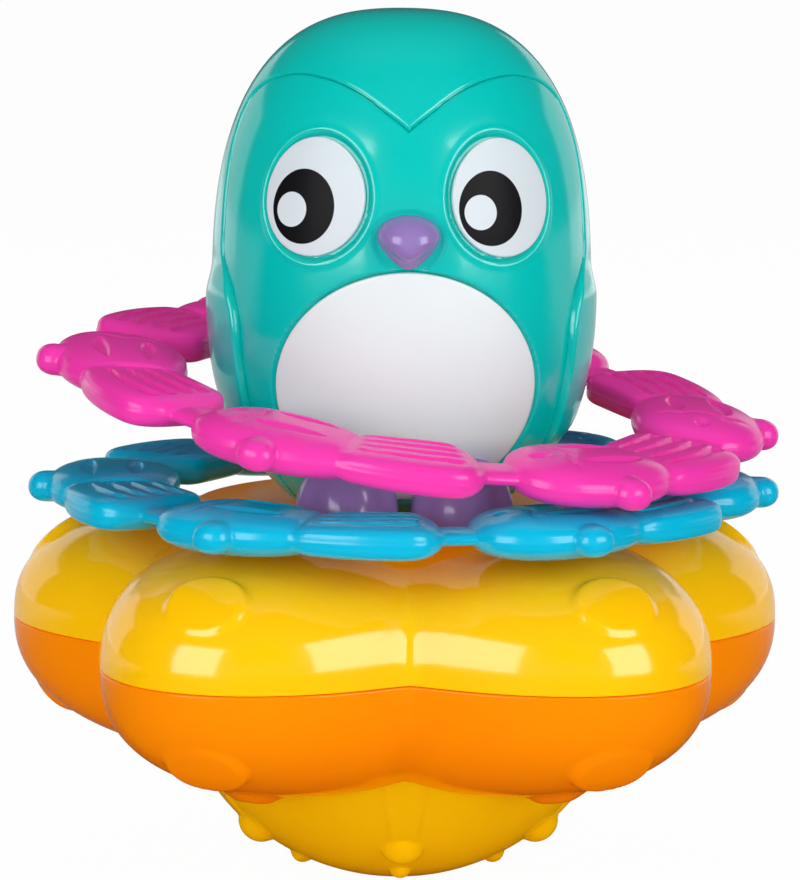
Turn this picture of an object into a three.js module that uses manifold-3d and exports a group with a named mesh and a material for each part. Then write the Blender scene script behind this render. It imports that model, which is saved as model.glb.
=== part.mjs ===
// Bath ring stacker: a bird on a five-petal float, with two rings of fish that drop over it.
// Millimetres, +Z up. The origin is the middle of the flat foot under the keel, and the bird faces -Y.
import * as THREE from "three";
import { mergeVertices } from "three/addons/utils/BufferGeometryUtils.js";
import Module from "manifold-3d";

const wasm = await Module();
wasm.setup();

// Driving dimensions
const WALL = 2.2; // moulded wall of every shell
const CLEARANCE = 0.3; // gap between pieces that touch
const DEG = Math.PI / 180;

// Float: petals are ellipses in plan, pointing outwards, and squarish domes in section
const PETALS = 5;
const PETAL_CENTRE_R = 26.9;
const PETAL_LENGTH = 55.6; // from the petal's middle to its tip
const PETAL_HALF_WIDTH = 33.6;
const UPPER_POWER = 2.55; // squareness of the section: 2 is an ellipse
const UNDER_POWER = 2.35;
const GROOVE_SOFT_DEG = 2.2; // how far the crease between petals is rounded
const SEAM_Z = 48.5;
const UPPER_RISE = 25.6;
const LOWER_DROP = 26.2;
const SEAT_R = 42; // flat pad on top, which carries the bird
const SEAT_STEP = 0.4; // the pad stands this far over the petals
const LIP_HEIGHT = 3;
const LIP_WALL = 1.4;
const SHOULDER_BUMP_R = 8;
const SHOULDER_BUMP_PROUD = 2.4;
const UNDER_BUMP_R = 6.5;
const UNDER_BUMP_PROUD = 1.8;
const SHOULDER_BUMP_AT = 0.86; // distance from the petal's middle, as a share of its length
const FRONT_BUMP_SWING = 3.4; // degrees by which the front petals' shoulder bumps stand nearer the front
const UNDER_BUMP_AT = 0.48;

// Keel: a weighted dome under the float
const DOME_R = 46.5;
const FOOT_R = 12;
const DOME_TOP_Z = 27.7;
const LARGE_NUB_R = 4.4;
const LARGE_NUB_PROUD = 3.2;
const LARGE_NUB_TILT = 41; // degrees up from the foot
const SMALL_NUB_R = 2.4;
const SMALL_NUB_PROUD = 1.6;
const SMALL_NUB_TILT = 26;
const DOME_SIDES = 24;
const BALLAST_R = 25;
const BALLAST_TOP_Z = 13.4;

// Screws, all alike
const SCREWS = 3;
const SHANK_R = 1.5;
const SCREW_LENGTH = 11;
const HEAD_R = 3.2;
const HEAD_HEIGHT = 1.9;
const BOSS_WALL = 1.9;
const KEEL_SCREW_INSET = 9.2; // from the dome's rim to the circle of screws
const BIRD_SCREW_R = 10.6; // radius of the circle of screws

// Bird
const BIRD_HALF_WIDTH = 37.9;
const BIRD_HALF_DEPTH = 36.4;
const BIRD_WAIST = 43.4; // height of the widest level over the bird's base
const BIRD_HEIGHT = 100.2;
const HEAD_POWER = 2.6;
const LOWER_POWER = 2.3;
const LOWER_REACH = 48; // depth of the ovoid below the waist, cut off flat at the base
const BASE_PLATE = 3;
const WING_PROUD = 1.3;
const WING_FRONT = 25; // front and back of a wing from the bird's axis, in the side view
const WING_BACK = 20;
const WING_TOP = 49.4; // heights over the bird's base
const WING_TIP = 10.4;
const FACE_HALF_WIDTH = 35.1;
const BROW_DROP = 21; // the notch of the brow below the crown
const LOBE_DROP = 10.4; // the tops of the face below the crown
const CHEEK_DROP = 27; // the widest level of the face below its tops
const FACE_SIDE_Z = 21.4; // where the face's sides end behind the rings
const INLAY = 1.2; // thickness of the eye and belly plates
const BELLY_HALF_WIDTH = 25.8;
const BELLY_TOP = 51.2; // heights over the bird's base
const BELLY_BOTTOM = 4.4;
const EYE_X = 17.6;
const EYE_Z = 66.3;
const EYE_HALF_WIDTH = 9.5;
const EYE_HALF_HEIGHT = 11.7;
const BEAK_Z = 57.8;
const BEAK_HALF_WIDTH = 6.2;
const BEAK_HALF_HEIGHT = 5.3;
const BEAK_PROUD = 6.5;
const BEAK_STEM_R = 2.6;
const FOOT_X = 11.4;
const FOOT_HALF_WIDTH = 10.6;
const FOOT_REACH = 38; // front of the toes from the bird's axis
const FOOT_DEPTH = 13;
const FOOT_HEIGHT = 14;
const MIDDLE_TOE_HALF = 6.6;
const SIDE_TOE_HALF = 5.3;
const SIDE_TOE_BACK = 1.6; // the side toes stand this far behind the middle one

// Rings of fish, head to tail
const FISH = 6;
const RING_R = 59; // middle of the band
const BODY_HALF = 13.4;
const BODY_THICK = 10.2;
const WAIST_HALF = 9.5;
const WAIST_THICK = 7;
const TAIL_HALF = 12.6;
const TAIL_THICK = 7.2;
const LINK_HALF = 5;
const LINK_THICK = 3.6;
const TAIL_GROOVE = 1.3;
const FIN_AT = 18.3; // degrees from the nose
const FIN_R = 3.5;
const FIN_STRETCH = 1.28; // width of a fin over its thickness
const FIN_TIP_R = 76.2;
const BLUE_SPIN = -20.5;
const BLUE_PITCH = 0;
const PINK_SPIN = -14.5;
const PINK_PITCH = 5.3;
const PINK_ROLL = 6.9;
const BLUE_SHIFT = 0.8;
const PINK_SHIFT = 2.1;

// Colours
const gloss = (color, roughness = 0.25) => new THREE.MeshStandardMaterial({ color, roughness, metalness: 0 });
const YELLOW = gloss(0xfbce01);
const ORANGE = gloss(0xfe8f00);
const TEAL = gloss(0x00cdc2);
const WHITE = gloss(0xe9e6ec, 0.35);
const PURPLE = gloss(0x9a80c0);
const PINK = gloss(0xf539bb, 0.35);
const BLUE = gloss(0x02bae2, 0.3);
const STEEL = new THREE.MeshStandardMaterial({ color: 0xb4b7bb, roughness: 0.35, metalness: 1 });

// Worked-out heights
const seatZ = SEAM_Z + UPPER_RISE + SEAT_STEP;
const birdZ = seatZ + CLEARANCE;
const domeCentreZ = Math.sqrt(DOME_R ** 2 - FOOT_R ** 2);
const floorZ = DOME_TOP_Z + CLEARANCE;
const domeRimR = Math.sqrt(DOME_R ** 2 - (domeCentreZ - DOME_TOP_Z) ** 2);
const socketR = domeRimR + CLEARANCE;
const keelScrewR = domeRimR - KEEL_SCREW_INSET;
const pilotR = SHANK_R + CLEARANCE;
const bossR = pilotR + BOSS_WALL;

// Solids

// A closed geometry as a solid that can be joined and cut.
function solidOf(geometry) {
  const bare = geometry.clone();
  bare.deleteAttribute("normal");
  bare.deleteAttribute("uv");
  const merged = mergeVertices(bare, 1e-4);
  const vertProperties = new Float32Array(merged.attributes.position.array);
  const triVerts = new Uint32Array(merged.index.array);
  return new wasm.Manifold(new wasm.Mesh({ numProp: 3, vertProperties, triVerts }));
}

function geometryOf(solid) {
  const mesh = solid.getMesh();
  const geometry = new THREE.BufferGeometry();
  geometry.setAttribute("position", new THREE.BufferAttribute(mesh.vertProperties, 3));
  geometry.setIndex(new THREE.BufferAttribute(mesh.triVerts, 1));
  geometry.computeVertexNormals();
  return geometry;
}

function join(solids) {
  return solids.reduce((whole, next) => whole.add(next));
}

// A closed skin over rings of points, listed from the bottom up, each anticlockwise from above.
function stacked(rings) {
  const around = rings[0].length;
  const middle = (ring) => ring.reduce((sum, p) => sum.add(p), new THREE.Vector3()).divideScalar(around);
  const points = [middle(rings[0]), ...rings.flat(), middle(rings.at(-1))];
  const top = points.length - 1;
  const faces = [];
  const at = (row, i) => 1 + row * around + (i % around);
  for (let i = 0; i < around; i++) {
    faces.push(0, at(0, i + 1), at(0, i));
    for (let row = 0; row + 1 < rings.length; row++) {
      faces.push(at(row, i), at(row, i + 1), at(row + 1, i + 1));
      faces.push(at(row, i), at(row + 1, i + 1), at(row + 1, i));
    }
    faces.push(top, at(rings.length - 1, i), at(rings.length - 1, i + 1));
  }
  return new THREE.BufferGeometry().setFromPoints(points).setIndex(faces);
}

// A closed band through sections that follow each other round in a loop.
function looped(sections) {
  const count = sections.length;
  const side = sections[0].length;
  const faces = [];
  const at = (s, i) => (s % count) * side + (i % side);
  for (let s = 0; s < count; s++) {
    for (let i = 0; i < side; i++) {
      faces.push(at(s, i), at(s + 1, i), at(s + 1, i + 1));
      faces.push(at(s, i), at(s + 1, i + 1), at(s, i + 1));
    }
  }
  return new THREE.BufferGeometry().setFromPoints(sections.flat()).setIndex(faces);
}

function turned(profile, sides) {
  const points = profile.map(([r, z]) => new THREE.Vector2(r, z));
  return new THREE.LatheGeometry(points, sides).rotateX(Math.PI / 2);
}

function cylinder(r, z0, z1, sides = 12, x = 0, y = 0) {
  const rod = new THREE.CylinderGeometry(r, r, z1 - z0, sides).rotateX(Math.PI / 2);
  return solidOf(rod.translate(x, y, (z0 + z1) / 2));
}

// A low round bump of radius r on a surface, its top standing proud of it along the normal.
function bump(point, normal, r, proud, sides = 7) {
  const ball = new THREE.SphereGeometry(1, sides, 4).rotateX(Math.PI / 2);
  ball.scale(r, r, proud);
  ball.applyQuaternion(new THREE.Quaternion().setFromUnitVectors(new THREE.Vector3(0, 0, 1), normal));
  return solidOf(ball.translate(point.x, point.y, point.z));
}

const polar = (r, angle, z) => new THREE.Vector3(r * Math.cos(angle), r * Math.sin(angle), z);
const circleOf = (count, first = 0) =>
  Array.from({ length: count }, (_, i) => first + (i * 2 * Math.PI) / count);

// Float

// Angles round the float, with one on each groove and each tip. The front lies midway between two petals.
const petalPitch = (2 * Math.PI) / PETALS;
const front = -Math.PI / 2;
const petalAngle = (petal) => front + (petal + 0.5) * petalPitch;
const petalList = Array.from({ length: PETALS }, (_, petal) => petal);
const roundFloat = (steps) =>
  petalList.flatMap((petal) =>
    steps.map((step) => ({ angle: petalAngle(petal) + step * petalPitch, off: step * petalPitch })),
  );
const outerAngles = roundFloat([-0.5, -0.29, -0.137, -0.063, 0, 0.063, 0.137, 0.29]);
const innerAngles = roundFloat([-0.5, -0.33, -0.14, 0, 0.14, 0.33]);

// Angle from the petal's middle line, with the crease at the groove softened.
function softened(off) {
  const toGroove = petalPitch / 2 - Math.abs(off);
  return Math.max(0, petalPitch / 2 - Math.hypot(toGroove, GROOVE_SOFT_DEG * DEG));
}

// Distance from the petal's middle as a share of the way to its rim.
function petalShare(r, off, inset) {
  const along = (r * Math.cos(off) - PETAL_CENTRE_R) / (PETAL_LENGTH - inset);
  const across = (r * Math.sin(off)) / (PETAL_HALF_WIDTH - inset);
  return Math.hypot(along, across);
}

// Radius at which the petal reaches a share of the way to its rim.
function petalRim(off, inset, share = 1) {
  const along = Math.cos(off) / (PETAL_LENGTH - inset);
  const across = Math.sin(off) / (PETAL_HALF_WIDTH - inset);
  const middle = PETAL_CENTRE_R / (PETAL_LENGTH - inset);
  const a = along ** 2 + across ** 2;
  const b = along * middle;
  return (b + Math.sqrt(b ** 2 - a * (middle ** 2 - share ** 2))) / a;
}

// The upper half is side 1, the lower half side -1.
const halfHeight = (side, inset) => (side > 0 ? UPPER_RISE : LOWER_DROP) - inset;
function ovalShare(share, side) {
  const power = side > 0 ? UPPER_POWER : UNDER_POWER;
  return (1 - Math.min(1, share) ** power) ** (1 / power);
}
const petalHeight = (share, side, inset) => halfHeight(side, inset) * ovalShare(share, side);

// The lip's end, and how far out the wall still stands there.
const lipZ = (side) => SEAM_Z + side * LIP_HEIGHT;
const lipShare = (side, inset) => ovalShare(LIP_HEIGHT / halfHeight(side, inset), side);

// One half of the float as a solid, from the seam to a flat middle.
function halfFloat(columns, side, inset, middleR, middleZ, rows, overlap) {
  const rings = [];
  const ring = (radius, z) => {
    const points = columns.map(({ angle, off }) => {
      const r = radius(softened(off));
      return polar(r, angle, z(r, softened(off)));
    });
    rings.push(points);
  };
  const surface = (r, off) => SEAM_Z + side * petalHeight(petalShare(r, off, inset), side, inset);
  if (overlap) ring((off) => petalRim(off, inset), () => SEAM_Z - side * overlap);
  for (let row = 0; row <= rows; row++) {
    const share = Math.cos((row / rows) * (Math.PI / 2));
    const radius = (off) => middleR + (petalRim(off, inset) - middleR) * share;
    ring(radius, row === 0 ? () => SEAM_Z : surface);
    if (row === 0 && overlap) ring((off) => petalRim(off, inset, lipShare(side, inset)), () => lipZ(side));
  }
  ring(() => middleR, () => middleZ);
  if (side < 0) rings.reverse();
  return solidOf(stacked(rings));
}

function petalBump(petal, share, side, r, proud, swing) {
  const angle = petalAngle(petal) + swing * DEG;
  const step = 0.001;
  const slope = (petalHeight(share + step, side, 0) - petalHeight(share, side, 0)) / (step * PETAL_LENGTH);
  const radius = PETAL_CENTRE_R + share * PETAL_LENGTH;
  const point = polar(radius, angle, SEAM_Z + side * petalHeight(share, side, 0));
  return bump(point, polar(-slope, angle, side).normalize(), r, proud);
}

// The first petal is the front one on the right, the last the front one on the left.
function frontSwing(petal) {
  if (petal === 0) return -FRONT_BUMP_SWING;
  return petal === PETALS - 1 ? FRONT_BUMP_SWING : 0;
}

const screwAngles = circleOf(SCREWS, Math.PI / 2);

function floatUpperShell() {
  const outer = halfFloat(outerAngles, 1, 0, SEAT_R, seatZ, 5, 0);
  const inner = halfFloat(innerAngles, 1, WALL, SEAT_R - WALL, seatZ - WALL, 3, 1);
  const bumps = petalList.map((petal) =>
    petalBump(petal, SHOULDER_BUMP_AT, 1, SHOULDER_BUMP_R, SHOULDER_BUMP_PROUD, frontSwing(petal)),
  );
  let shell = join([outer, ...bumps]).subtract(inner);
  for (const angle of screwAngles) {
    const { x, y } = polar(BIRD_SCREW_R, angle, 0);
    shell = shell.subtract(cylinder(pilotR, seatZ - 2 * WALL, seatZ + WALL, 10, x, y));
  }
  return shell;
}

// The lip stands up inside the upper wall and lines the two halves up.
function floatLip() {
  const wall = (inset, z) =>
    innerAngles.map(({ angle, off }) => polar(petalRim(softened(off), inset), angle, z));
  const lean = PETAL_LENGTH * (1 - lipShare(1, WALL));
  const outside = WALL + CLEARANCE + lean;
  const inside = outside + LIP_WALL;
  const top = lipZ(1) - CLEARANCE;
  const bottom = lipZ(-1);
  const foot = WALL - CLEARANCE;
  const sections = innerAngles.map((_, i) => [
    wall(inside, bottom)[i],
    wall(foot, bottom)[i],
    wall(foot, SEAM_Z - CLEARANCE)[i],
    wall(outside, SEAM_Z - CLEARANCE)[i],
    wall(outside, top)[i],
    wall(inside, top)[i],
  ]);
  return solidOf(looped(sections));
}

function floatLowerShell() {
  const outer = halfFloat(outerAngles, -1, 0, socketR, floorZ, 5, 0);
  const inner = halfFloat(innerAngles, -1, WALL, socketR + WALL, floorZ + WALL, 3, 1);
  const bumps = petalList.flatMap((petal) => [
    petalBump(petal, SHOULDER_BUMP_AT, -1, SHOULDER_BUMP_R, SHOULDER_BUMP_PROUD, frontSwing(petal)),
    petalBump(petal, UNDER_BUMP_AT, -1, UNDER_BUMP_R, UNDER_BUMP_PROUD, 0),
  ]);
  const seamGap = cylinder(2 * (PETAL_CENTRE_R + PETAL_LENGTH), SEAM_Z - CLEARANCE, SEAM_Z + 1, 8);
  const socket = cylinder(socketR, 0, floorZ, DOME_SIDES);
  let shell = join([outer, ...bumps]).subtract(inner).subtract(seamGap).subtract(socket).add(floatLip());
  for (const angle of screwAngles) {
    const { x, y } = polar(keelScrewR, angle, 0);
    shell = shell.subtract(cylinder(pilotR, floorZ - WALL, floorZ + 2 * WALL, 10, x, y));
  }
  return shell;
}

// Keel

function keelDome() {
  const arc = (radius, fromZ, toZ, arcRows) =>
    Array.from({ length: arcRows + 1 }, (_, row) => {
      const start = Math.acos((domeCentreZ - fromZ) / radius);
      const end = Math.acos((domeCentreZ - toZ) / radius);
      const tilt = start + ((end - start) * row) / arcRows;
      return [radius * Math.sin(tilt), domeCentreZ - radius * Math.cos(tilt)];
    });
  const outside = arc(DOME_R, 0, DOME_TOP_Z, 6);
  const inside = arc(DOME_R - WALL, WALL, DOME_TOP_Z, 4).reverse();
  const cup = solidOf(turned([[0, 0], ...outside, ...inside, [0, WALL]], DOME_SIDES));
  const midWall = arc(DOME_R - WALL / 2, WALL / 2, DOME_TOP_Z, 5);
  const filling = solidOf(turned([[0, WALL / 2], ...midWall, [0, DOME_TOP_Z]], DOME_SIDES));
  const nub = (angle, tilt, r, proud) => {
    const normal = polar(Math.sin(tilt * DEG), angle, -Math.cos(tilt * DEG));
    const foot = normal.clone().multiplyScalar(DOME_R).add(new THREE.Vector3(0, 0, domeCentreZ));
    return bump(foot, normal, r, proud, 6);
  };
  const nubs = circleOf(PETALS, front).flatMap((angle) => [
    nub(angle, LARGE_NUB_TILT, LARGE_NUB_R, LARGE_NUB_PROUD),
    nub(angle, SMALL_NUB_TILT, SMALL_NUB_R, SMALL_NUB_PROUD),
  ]);
  let dome = join([cup, ...nubs.map((n) => n.subtract(filling))]);
  const posts = screwAngles.map((angle) => polar(keelScrewR, angle, 0));
  for (const { x, y } of posts) {
    dome = dome.add(cylinder(bossR, 0, DOME_TOP_Z, 10, x, y).intersect(filling));
    dome = dome.subtract(cylinder(pilotR, floorZ + WALL - SCREW_LENGTH - CLEARANCE, floorZ, 10, x, y));
  }
  const post = cylinder(bossR, WALL / 2, BALLAST_TOP_Z, 12);
  return dome.add(post).subtract(cylinder(pilotR, WALL, BALLAST_TOP_Z + 1, 10));
}

// A turned slug that fills the bottom of the dome.
function ballastWeight() {
  const inner = DOME_R - WALL - CLEARANCE;
  const bottomZ = WALL + CLEARANCE;
  const dip = domeCentreZ - bottomZ;
  const hole = bossR + CLEARANCE;
  const edgeZ = domeCentreZ - Math.sqrt(inner ** 2 - BALLAST_R ** 2);
  const facet = Math.cos(Math.PI / DOME_SIDES);
  const lowR = Math.sqrt(inner ** 2 - dip ** 2) * facet;
  const midR = ((lowR + BALLAST_R) / 2) * facet;
  const midZ = domeCentreZ - Math.sqrt(inner ** 2 - midR ** 2);
  const profile = [
    [hole, bottomZ],
    [lowR, bottomZ],
    [midR, midZ + CLEARANCE],
    [BALLAST_R * facet, edgeZ + CLEARANCE],
    [BALLAST_R * facet, BALLAST_TOP_Z],
    [hole, BALLAST_TOP_Z],
    [hole, bottomZ],
  ];
  return solidOf(turned(profile, DOME_SIDES));
}

// A pan-head screw standing on its tip at z = 0.
function screw() {
  const head = [
    [0, 0],
    [SHANK_R * 0.5, 0],
    [SHANK_R, SHANK_R],
    [SHANK_R, SCREW_LENGTH],
    [HEAD_R, SCREW_LENGTH],
    [HEAD_R * 0.9, SCREW_LENGTH + HEAD_HEIGHT * 0.7],
    [HEAD_R * 0.5, SCREW_LENGTH + HEAD_HEIGHT],
    [0, SCREW_LENGTH + HEAD_HEIGHT],
  ];
  return solidOf(turned(head, 8));
}

// Bird, in its own frame: base at z = 0

// Half-sizes at a height. Above the waist the inset follows the dome, below it the wall is upright.
function birdLevel(z, inset) {
  const above = z >= BIRD_WAIST;
  const reach = above ? BIRD_HEIGHT - BIRD_WAIST - inset : LOWER_REACH;
  const power = above ? HEAD_POWER : LOWER_POWER;
  const share = Math.min(1, Math.abs(z - BIRD_WAIST) / reach);
  const full = (1 - share ** power) ** (1 / power);
  const size = (half) => (above ? (half - inset) * full : half * full - inset);
  return { halfWidth: size(BIRD_HALF_WIDTH), halfDepth: size(BIRD_HALF_DEPTH) };
}

// The ovoid body, inset from the outside by a wall, or grown if the inset is negative.
const LOWER_ROWS = 0.4; // share of the rows that lies below the waist
const CROWN_FLAT = 0.004; // share of the head's height that the flat top row stands for
function birdBody(inset, around, rows, fromZ = 0) {
  const topZ = BIRD_HEIGHT - inset;
  const rings = [];
  const addRing = (levelZ, z = levelZ) => {
    const { halfWidth, halfDepth } = birdLevel(levelZ, inset);
    const points = circleOf(around).map(
      (angle) => new THREE.Vector3(halfWidth * Math.cos(angle), halfDepth * Math.sin(angle), z),
    );
    rings.push(points);
  };
  const lowerRows = Math.round(rows * LOWER_ROWS);
  for (let row = 0; row < lowerRows; row++) addRing(fromZ + ((BIRD_WAIST - fromZ) * row) / lowerRows);
  const upperRows = rows - lowerRows;
  for (let row = 0; row < upperRows; row++) {
    addRing(BIRD_WAIST + (topZ - BIRD_WAIST) * Math.sin(((row / upperRows) * Math.PI) / 2));
  }
  addRing(topZ - (topZ - BIRD_WAIST) * CROWN_FLAT, topZ);
  return solidOf(stacked(rings));
}

// A flat outline in the front view, carried through the front of the bird.
function frontPrism(shape, steps = 5) {
  const depth = 2 * BIRD_HALF_DEPTH;
  const prism = new THREE.ExtrudeGeometry(shape, { depth, bevelEnabled: false, curveSegments: steps });
  return solidOf(prism.rotateX(Math.PI / 2));
}

function ovalShape(x, z, halfWidth, halfHeight) {
  const shape = new THREE.Shape();
  shape.absellipse(x, z, halfWidth, halfHeight, 0, 2 * Math.PI);
  return shape;
}

// The face and chest panel: heart-shaped over the brow, then down in front of the wings.
function faceShape(margin) {
  const side = FACE_HALF_WIDTH + margin;
  const brow = BIRD_HEIGHT - BROW_DROP + margin;
  const lobe = BIRD_HEIGHT - LOBE_DROP + margin;
  const cheek = lobe - CHEEK_DROP;
  const shoulder = lobe - CHEEK_DROP * 0.6;
  const fall = cheek - FACE_SIDE_Z;
  const shape = new THREE.Shape();
  shape.moveTo(0, brow);
  shape.bezierCurveTo(-side * 0.22, (brow * 2 + lobe) / 3, -side * 0.34, lobe, -side * 0.56, lobe);
  shape.bezierCurveTo(-side * 0.9, lobe, -side, shoulder, -side, cheek);
  shape.bezierCurveTo(-side, cheek - fall / 2, -side * 0.9, cheek - fall * 0.75, -side * 0.84, FACE_SIDE_Z);
  shape.lineTo(-side * 0.6, -WALL);
  shape.lineTo(side * 0.6, -WALL);
  shape.lineTo(side * 0.84, FACE_SIDE_Z);
  shape.bezierCurveTo(side * 0.9, cheek - fall * 0.75, side, cheek - fall / 2, side, cheek);
  shape.bezierCurveTo(side, shoulder, side * 0.9, lobe, side * 0.56, lobe);
  shape.bezierCurveTo(side * 0.34, lobe, side * 0.22, (brow * 2 + lobe) / 3, 0, brow);
  return shape;
}

// A wing in the side view: a leaf with a round shoulder and its tip behind.
function wingShape() {
  const span = WING_TOP - WING_TIP;
  const up = (share) => WING_TIP + span * share;
  const shape = new THREE.Shape();
  shape.moveTo(-WING_FRONT, up(0.44));
  shape.bezierCurveTo(-WING_FRONT, up(0.82), -WING_FRONT * 0.56, WING_TOP, -WING_FRONT * 0.16, WING_TOP);
  shape.bezierCurveTo(WING_BACK * 0.5, WING_TOP, WING_BACK * 1.05, up(0.64), WING_BACK, up(0.26));
  shape.bezierCurveTo(WING_BACK * 0.95, up(0.05), WING_BACK * 0.75, up(-0.03), WING_BACK * 0.55, WING_TIP);
  shape.bezierCurveTo(-WING_FRONT * 0.08, up(0.08), -WING_FRONT * 0.96, up(0.15), -WING_FRONT, up(0.44));
  return shape;
}

const bellyShape = (margin) =>
  ovalShape(
    0,
    (BELLY_TOP + BELLY_BOTTOM) / 2,
    BELLY_HALF_WIDTH + margin,
    (BELLY_TOP - BELLY_BOTTOM) / 2 + margin,
  );
const eyeShape = (side, margin) =>
  ovalShape(side * EYE_X, EYE_Z, EYE_HALF_WIDTH + margin, EYE_HALF_HEIGHT + margin);

const SKIN_AROUND = 26;
const SKIN_ROWS = 12;
const LINING_AROUND = 20;
const LINING_ROWS = 8;
const birdOuter = birdBody(0, SKIN_AROUND, SKIN_ROWS);
const birdSkin = birdOuter.subtract(birdBody(WALL + INLAY, LINING_AROUND, LINING_ROWS, -WALL));
const inlayFloor = birdBody(INLAY + CLEARANCE, SKIN_AROUND, SKIN_ROWS, -WALL);
const inlayPocket = birdBody(-WALL, SKIN_AROUND, SKIN_ROWS, -WALL).subtract(inlayFloor);
const inlayPlate = birdOuter.subtract(birdBody(INLAY, SKIN_AROUND, SKIN_ROWS, -WALL));
const frontOf = (y) => ({ x: 0, y, z: BEAK_Z });

// The hole in the face and the bird's outline at the beak.
const beakLevel = birdLevel(BEAK_Z, 0);
function beakRod(r, length) {
  const rod = new THREE.CylinderGeometry(r, r, length, 12);
  const { x, y, z } = frontOf(-beakLevel.halfDepth + length / 2 - BEAK_PROUD / 2);
  return solidOf(rod.translate(x, y, z));
}

function birdFrontShell() {
  let shell = birdSkin.intersect(frontPrism(faceShape(-CLEARANCE / 2)));
  const pockets = [bellyShape(CLEARANCE), eyeShape(-1, CLEARANCE), eyeShape(1, CLEARANCE)];
  for (const pocket of pockets) {
    shell = shell.subtract(inlayPocket.intersect(frontPrism(pocket, 7)));
  }
  return shell.subtract(beakRod(BEAK_STEM_R + CLEARANCE, 4 * WALL + BEAK_PROUD));
}

function birdBackShell() {
  const face = frontPrism(faceShape(CLEARANCE / 2));
  const hood = birdSkin.subtract(face);
  const grown = birdBody(-WING_PROUD, SKIN_AROUND, SKIN_ROWS, 0.5);
  const depth = 2 * BIRD_HALF_WIDTH + 4 * WING_PROUD;
  const prism = new THREE.ExtrudeGeometry(wingShape(), { depth, bevelEnabled: false, curveSegments: 6 });
  prism.rotateX(Math.PI / 2).rotateZ(Math.PI / 2).translate(-depth / 2, 0, 0);
  const hollow = birdBody(WALL, SKIN_AROUND, SKIN_ROWS, -WALL);
  const wings = grown.intersect(solidOf(prism)).subtract(hollow).subtract(face);
  return hood.add(wings);
}

const bellyPanel = () => inlayPlate.intersect(frontPrism(bellyShape(0), 7));
const eyePlate = (side) => inlayPlate.intersect(frontPrism(eyeShape(side, 0), 7));

// Round and wide on top, drawn in to a blunt point below.
const BEAK_TAPER = 0.34;
const BEAK_DROOP = 0.12;
function beak() {
  const rings = [];
  const rows = 4;
  for (let row = 0; row <= rows; row++) {
    const turn = (row / rows) * (Math.PI / 2);
    const size = Math.max(0.05, Math.cos(turn));
    const out = (BEAK_PROUD + WALL) * Math.sin(turn);
    const ring = circleOf(12).map((angle) => {
      const up = Math.sin(angle);
      const taper = 1 - BEAK_TAPER * Math.max(0, -up) ** 1.4;
      const droop = out * BEAK_DROOP;
      return new THREE.Vector3(
        BEAK_HALF_WIDTH * size * Math.cos(angle) * taper,
        BEAK_HALF_HEIGHT * size * up - droop,
        out,
      );
    });
    rings.push(ring);
  }
  const cone = stacked(rings).rotateX(Math.PI / 2);
  const { x, y, z } = frontOf(-beakLevel.halfDepth + WALL);
  const clear = birdBody(-CLEARANCE, SKIN_AROUND, SKIN_ROWS);
  const tip = solidOf(cone.translate(x, y, z)).subtract(clear);
  return tip.add(beakRod(BEAK_STEM_R, 3 * WALL + BEAK_PROUD));
}

// A rounded mound with three toes, cut to the bird's body.
function foot(side) {
  const lobes = [-1, 0, 1].map((toe) => {
    const ball = new THREE.SphereGeometry(1, 10, 6).rotateX(Math.PI / 2);
    const halfWidth = toe === 0 ? MIDDLE_TOE_HALF : SIDE_TOE_HALF;
    const reach = toe === 0 ? FOOT_REACH : FOOT_REACH - SIDE_TOE_BACK;
    ball.scale(halfWidth, FOOT_DEPTH, FOOT_HEIGHT);
    return solidOf(ball.translate(toe * (FOOT_HALF_WIDTH - halfWidth), FOOT_DEPTH - reach, 0));
  });
  const ground = cylinder(2 * FOOT_REACH, 0, FOOT_HEIGHT * 2, 8);
  const block = 2 * FOOT_REACH;
  const heel = FOOT_DEPTH - FOOT_REACH;
  const behind = new THREE.BoxGeometry(block, block, block).translate(0, heel + block / 2, 0);
  const mound = join(lobes).subtract(solidOf(behind)).intersect(ground);
  const clear = birdBody(-CLEARANCE, SKIN_AROUND, SKIN_ROWS, -WALL);
  const placed = mound.translate([side * FOOT_X, 0, 0]).subtract(clear);
  return placed.decompose().sort((a, b) => b.volume() - a.volume())[0];
}

// The plug that closes the bottom of the bird. Its screws pull it down on the shells' inward taper.
function birdBasePlate() {
  const filling = birdBody(WALL + INLAY + CLEARANCE, LINING_AROUND, LINING_ROWS, -WALL);
  const posts = screwAngles.map((angle) => polar(BIRD_SCREW_R, angle, 0));
  let plate = filling.intersect(cylinder(BIRD_HALF_WIDTH, 0, BASE_PLATE, 12));
  for (const { x, y } of posts) {
    plate = plate.add(cylinder(bossR, BASE_PLATE / 2, SCREW_LENGTH + WALL, 10, x, y).intersect(filling));
  }
  for (const { x, y } of posts) plate = plate.subtract(cylinder(pilotR, -1, SCREW_LENGTH, 10, x, y));
  return plate;
}

// Rings

// Half-width and thickness at places along one fish, in degrees from its nose if there are six fish.
const STATION_SPAN = 60;
const fishStations = [
  { at: 0, half: LINK_HALF, thick: LINK_THICK, fan: 0 },
  { at: 2, half: BODY_HALF * 0.68, thick: BODY_THICK * 0.75, fan: 0 },
  { at: 7, half: BODY_HALF * 0.92, thick: BODY_THICK * 0.95, fan: 0 },
  { at: 15.6, half: BODY_HALF, thick: BODY_THICK, fan: 0 },
  { at: 25, half: BODY_HALF * 0.86, thick: BODY_THICK * 0.9, fan: 0 },
  { at: 30.8, half: WAIST_HALF, thick: WAIST_THICK, fan: 0.2 },
  { at: 35, half: TAIL_HALF * 0.93, thick: TAIL_THICK, fan: 1 },
  { at: 45, half: TAIL_HALF, thick: TAIL_THICK, fan: 1 },
  { at: 52.5, half: TAIL_HALF * 0.88, thick: TAIL_THICK, fan: 0.7 },
  { at: 55.6, half: LINK_HALF * 1.3, thick: TAIL_THICK * 0.8, fan: 0 },
];
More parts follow.
